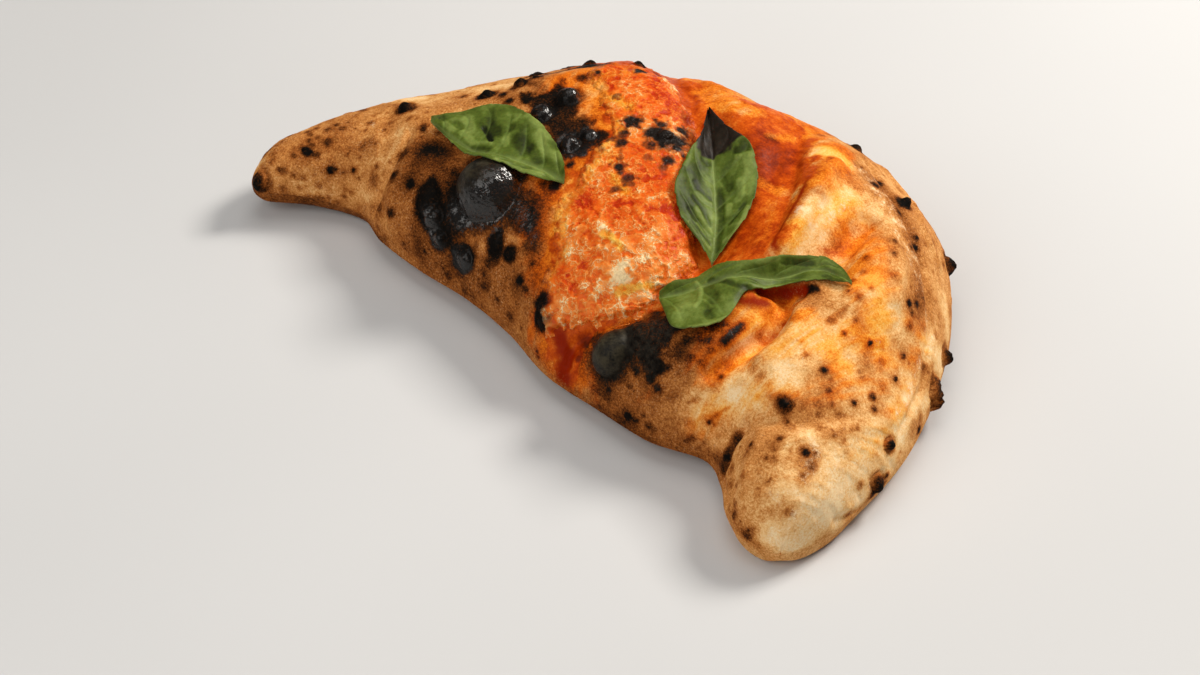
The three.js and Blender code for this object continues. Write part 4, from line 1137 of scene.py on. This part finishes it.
def dough_colour(g, patch, grain, grit):
    """Colour of the dough from its paint, its tone moved by the noises, and how dry it is."""
    tone, oil, sauce, painted_glare, deep = g.attributes("tone", "oil", "sauce", "painted_glare", "deep")
    level = shifted(tone, (grain, 0.42), (grit, 0.26), (patch, 0.24))
    dough = g.ramp(
        level, (0.1, 254, 224, 176), (0.28, 243, 192, 126), (0.45, 206, 138, 72), (0.62, 154, 88, 37),
        (0.78, 90, 46, 15), (0.92, 30, 19, 10), (1.0, 13, 11, 9))
    oiled = g.ramp(
        level, (0.1, 255, 210, 122), (0.28, 250, 172, 66), (0.45, 228, 122, 26), (0.62, 186, 82, 10),
        (0.78, 108, 44, 5), (0.92, 34, 18, 6), (1.0, 13, 10, 7))
    base = g.mix(g.spread(shifted(oil, (patch, 0.5)), 0.15, 0.85), dough, oiled)
    red = g.ramp(
        shifted(tone, (patch, 0.85), (grain, 0.45), (g.noise(11.0, 6.0, 0.6), 0.5)),
        (0.05, 246, 172, 80), (0.25, 228, 120, 36), (0.45, 204, 84, 12), (0.65, 170, 58, 4),
        (0.9, 126, 36, 2))
    base = g.mix(g.spread(shifted(sauce, (patch, 0.6), (grain, 0.15)), 0.25, 0.8), base, red)
    # painted highlight: the glare strokes turn the dough pale cream, except where it is dark
    pale = g.spread(shifted(painted_glare * 0.54, (g.noise(5.0, 9.0, 0.78), 2.4), (grain, 0.8)), 0.35, 0.75)
    base = g.mix(pale * g.spread(level, 0.75, 0.5), base, (255, 220, 170))
    # deep red sauce, and painted shade in the grooves and under the front leaf
    base = g.mix(g.spread(shifted(deep, (patch, 0.4)), 0.2, 0.9), base, (138, 30, 0))
    return base, level, g.math("SUBTRACT", 1.0, g.math("MAXIMUM", oil, sauce), clamp=True)


def crust_material():
    g = Graph("baked_dough")
    oil, sauce, deep, ash, tar, char = g.attributes("oil", "sauce", "deep", "ash", "tar", "char")
    grain = g.noise(0.95, 2.0, 0.6)
    patch = g.noise(4.0, 5.0, 0.62)
    base, level, dry = dough_colour(g, patch, grain, g.noise(0.5, 1.0, 0.5))

    # dry flour dust on the brown dough
    dust = g.spread(g.noise(0.7, 1.0, 0.5), 0.55, 0.7) * dry
    veil = g.spread(g.noise(14.0), 0.35, 0.65) * g.spread(level, 0.8, 0.6)
    base = g.mix(dust * veil * 0.34, base, (232, 180, 126))

    # charcoal where the dough is burnt through, matt grey on the burnt bubbles, glossy tar between them
    black = g.spread(level, 0.75, 0.92)
    coal = g.ramp(g.noise(2.2, 4.0, 0.65), (0.38, 18, 14, 11), (0.68, 58, 53, 45))
    base = g.mix(char * black * 0.6, base, coal)
    matt = g.spread(ash, 0.4, 0.95) * g.math("SUBTRACT", 1.0, tar, clamp=True)
    sheen = g.ramp(shifted(g.noise(5.0, 5.0, 0.6), (grain, 0.5)), (0.36, 16, 13, 8), (0.66, 66, 59, 43))
    base = g.mix(matt * 0.85, base, sheen)

    wet = g.math("MAXIMUM", oil * 0.6, sauce)
    glossy = black * tar
    shine = g.math("SUBTRACT", wet, deep, clamp=True) * 0.05 + 0.05
    return g.surface(
        Base_Color=base, Roughness=shifted(0.72 - wet * 0.3 - glossy * 0.15 - matt * 0.2, (patch, 0.25)),
        Normal=g.bumps((grain, 0.2, 0.8), (patch, 0.45, 0.6), (g.noise(1.1, 3.0, 0.6) * glossy, 0.8, 0.8)),
        Specular_IOR_Level=shine + g.math("MAXIMUM", glossy * 0.2, matt * 0.4) * 0.36,
        Coat_Weight=glossy * 0.9, Coat_Roughness=0.12,
        Coat_Normal=g.bumps((g.noise(1.5, 2.0, 0.5), 0.42, 0.9)),
        Subsurface_Weight=0.02, Subsurface_Scale=0.003, IOR=1.4)


def strings_of(g, size):
    """Thin wavy lines, as pulled cheese leaves."""
    return g.spread(g.math("ABSOLUTE", g.noise(size, 2.0, 0.5) - 0.5), 0.03, 0.0)


def topping_material():
    g = Graph("cheese_and_tomato")
    level, amber, burn, puddle, curd, edge = g.attributes("level", "amber", "burn", "puddle", "curd", "edge")
    grain = g.noise(1.0, 3.0, 0.6)
    patch = g.noise(3.4, 5.0, 0.62)
    strings = g.math("MAXIMUM", strings_of(g, 4.2), strings_of(g, 2.2)) * g.spread(g.noise(7.0), 0.32, 0.5)
    blots = g.spread(g.noise(4.2, 2.5, 0.5), 0.54, 0.62)
    level = shifted(level, (grain, 0.36), (patch, 0.4)) + strings * 0.34 - blots * 0.21
    cheese = g.ramp(
        level, (0.05, 186, 46, 2), (0.22, 216, 78, 8), (0.4, 230, 100, 20), (0.58, 240, 128, 44),
        (0.76, 250, 160, 80), (0.98, 255, 224, 170))
    golden = g.ramp(level, (0.1, 190, 80, 8), (0.45, 232, 132, 22), (0.9, 254, 196, 84))
    base = g.mix(g.spread(shifted(amber, (patch, 0.5)), 0.15, 0.85), cheese, golden)
    base = g.mix(edge, base, dough_colour(g, g.noise(4.0, 5.0, 0.62), grain, g.noise(0.5, 1.0, 0.5))[0])
    burnt = shifted(burn, (patch, 0.4), (grain, 0.3))
    base = g.mix(g.spread(burnt, 0.1, 0.5) * 0.8, base, (122, 52, 12))
    base = g.mix(g.spread(burnt, 0.4, 0.75), base, (26, 18, 12))
    return g.surface(
        Base_Color=base, Roughness=shifted(0.4, (patch, 0.3)) - puddle * 0.08,
        Normal=g.bumps((grain, 0.22, 0.7), (patch, 0.5, 0.6), (curd, 0.2, 0.5), (strings, 0.3, 0.7),
                       (blots, -0.25, 0.6)),
        Subsurface_Weight=0.03, Subsurface_Scale=0.002, IOR=1.42, Specular_IOR_Level=0.18)


def leaf_material(name):
    g = Graph(name)
    vein, midrib, shade, burnt, under = g.attributes("vein", "midrib", "shade", "burnt", "under")
    patch = g.noise(9.0)
    mottle = g.noise(1.3, 3.0, 0.6)
    # green from the painted sheen and shade of the leaf strokes
    base = g.ramp(
        shifted(shade, (patch, 0.7), (mottle, 0.3)),
        (0.05, 24, 28, 4), (0.28, 54, 66, 12), (0.5, 88, 104, 34), (0.8, 132, 148, 72))
    base = g.mix(vein * 0.3, base, (116, 136, 66))
    base = g.mix(midrib * 0.55, base, (136, 152, 82))
    base = g.mix(under * 0.5, base, (120, 136, 84))
    base = g.mix(burnt, base, g.ramp(g.noise(2.5), (0.3, 26, 19, 12), (0.7, 48, 38, 28)))
    return g.surface(
        Base_Color=base, Roughness=shifted(0.5, (patch, 0.14), (mottle, 0.12)),
        Normal=g.bumps((g.cell(1.2), 0.06, 0.5), (mottle, 0.12, 0.5)),
        Subsurface_Weight=0.06, Subsurface_Scale=0.002, IOR=1.42, Specular_IOR_Level=0.22)


def floor_material():
    g = Graph("pale_floor")
    return g.surface(
        Base_Color=g.ramp(g.noise(400.0, 2.0), (0.3, 205, 205, 205), (0.7, 212, 212, 212)), Roughness=0.8)


# ---------------------------------------------------------------- stage

def place_object(name, data, location, direction=None):
    """Put a new object into the scene, pointed along a direction as cameras and lights point."""
    made = bpy.data.objects.new(name, data)
    made.location = location
    if direction is not None:
        made.rotation_euler = direction.to_track_quat("-Z", "Y").to_euler()
    bpy.context.scene.collection.objects.link(made)
    return made


def add_camera():
    eye, forward, _, _ = camera_axes()
    data = bpy.data.cameras.new("camera")
    data.lens = LENS
    data.sensor_width = SENSOR_WIDTH
    data.clip_end = 20
    bpy.context.scene.camera = place_object("camera", data, Vector((eye - PLAN_CENTRE) * MM), Vector(forward))


def add_light(name, side, away, height, size, power, tint):
    """A square soft light, placed right of, behind and above the food as the camera sees it, in metres."""
    _, forward, right, _ = camera_axes()
    flat = np.array([forward[0], forward[1], 0]) / math.hypot(forward[0], forward[1])
    light = bpy.data.lights.new(name, "AREA")
    light.size = size
    light.energy = power
    light.color = tint
    place = Vector(right * side + flat * away) + Vector((0, 0, height))
    place_object(name, light, place, -place)


def add_world(strength):
    world = bpy.data.worlds.new("studio")
    world.use_nodes = True
    background = world.node_tree.nodes["Background"]
    background.inputs["Color"].default_value = (1, 1, 1, 1)
    background.inputs["Strength"].default_value = strength
    bpy.context.scene.world = world


def add_floor(half):
    """A floor that reaches half metres to each side, just below the food."""
    mesh = bpy.data.meshes.new("floor")
    corners = [(-half, -half, 0), (half, -half, 0), (half, half, 0), (-half, half, 0)]
    mesh.from_pydata(corners, [], [(0, 1, 2, 3)])
    mesh.materials.append(floor_material())
    floor = place_object("floor", mesh, (0, 0, -0.0003))


crust, surface, crust_tree, paint = build_crust()
crust.data.materials.append(crust_material())
topping, topping_tree = build_topping(surface, paint)
topping.data.materials.append(topping_material())
for number, (name, leaf) in enumerate(LEAVES.items()):
    piece = build_leaf(name, leaf, (crust_tree, topping_tree), SEED + 60 + number)
    piece.data.materials.append(leaf_material(name + "_green"))

add_floor(3.0)
add_camera()
add_light("key", 0.85, 0.5, 0.95, 0.4, 18, (1.0, 0.95, 0.88))
add_light("fill", -0.7, -0.7, 0.9, 1.0, 8, (1.0, 0.97, 0.93))
add_light("top", 0.0, 0.2, 1.4, 0.9, 5, (1.0, 0.97, 0.93))
add_world(0.12)
bpy.context.scene.view_settings.view_transform = "Standard"
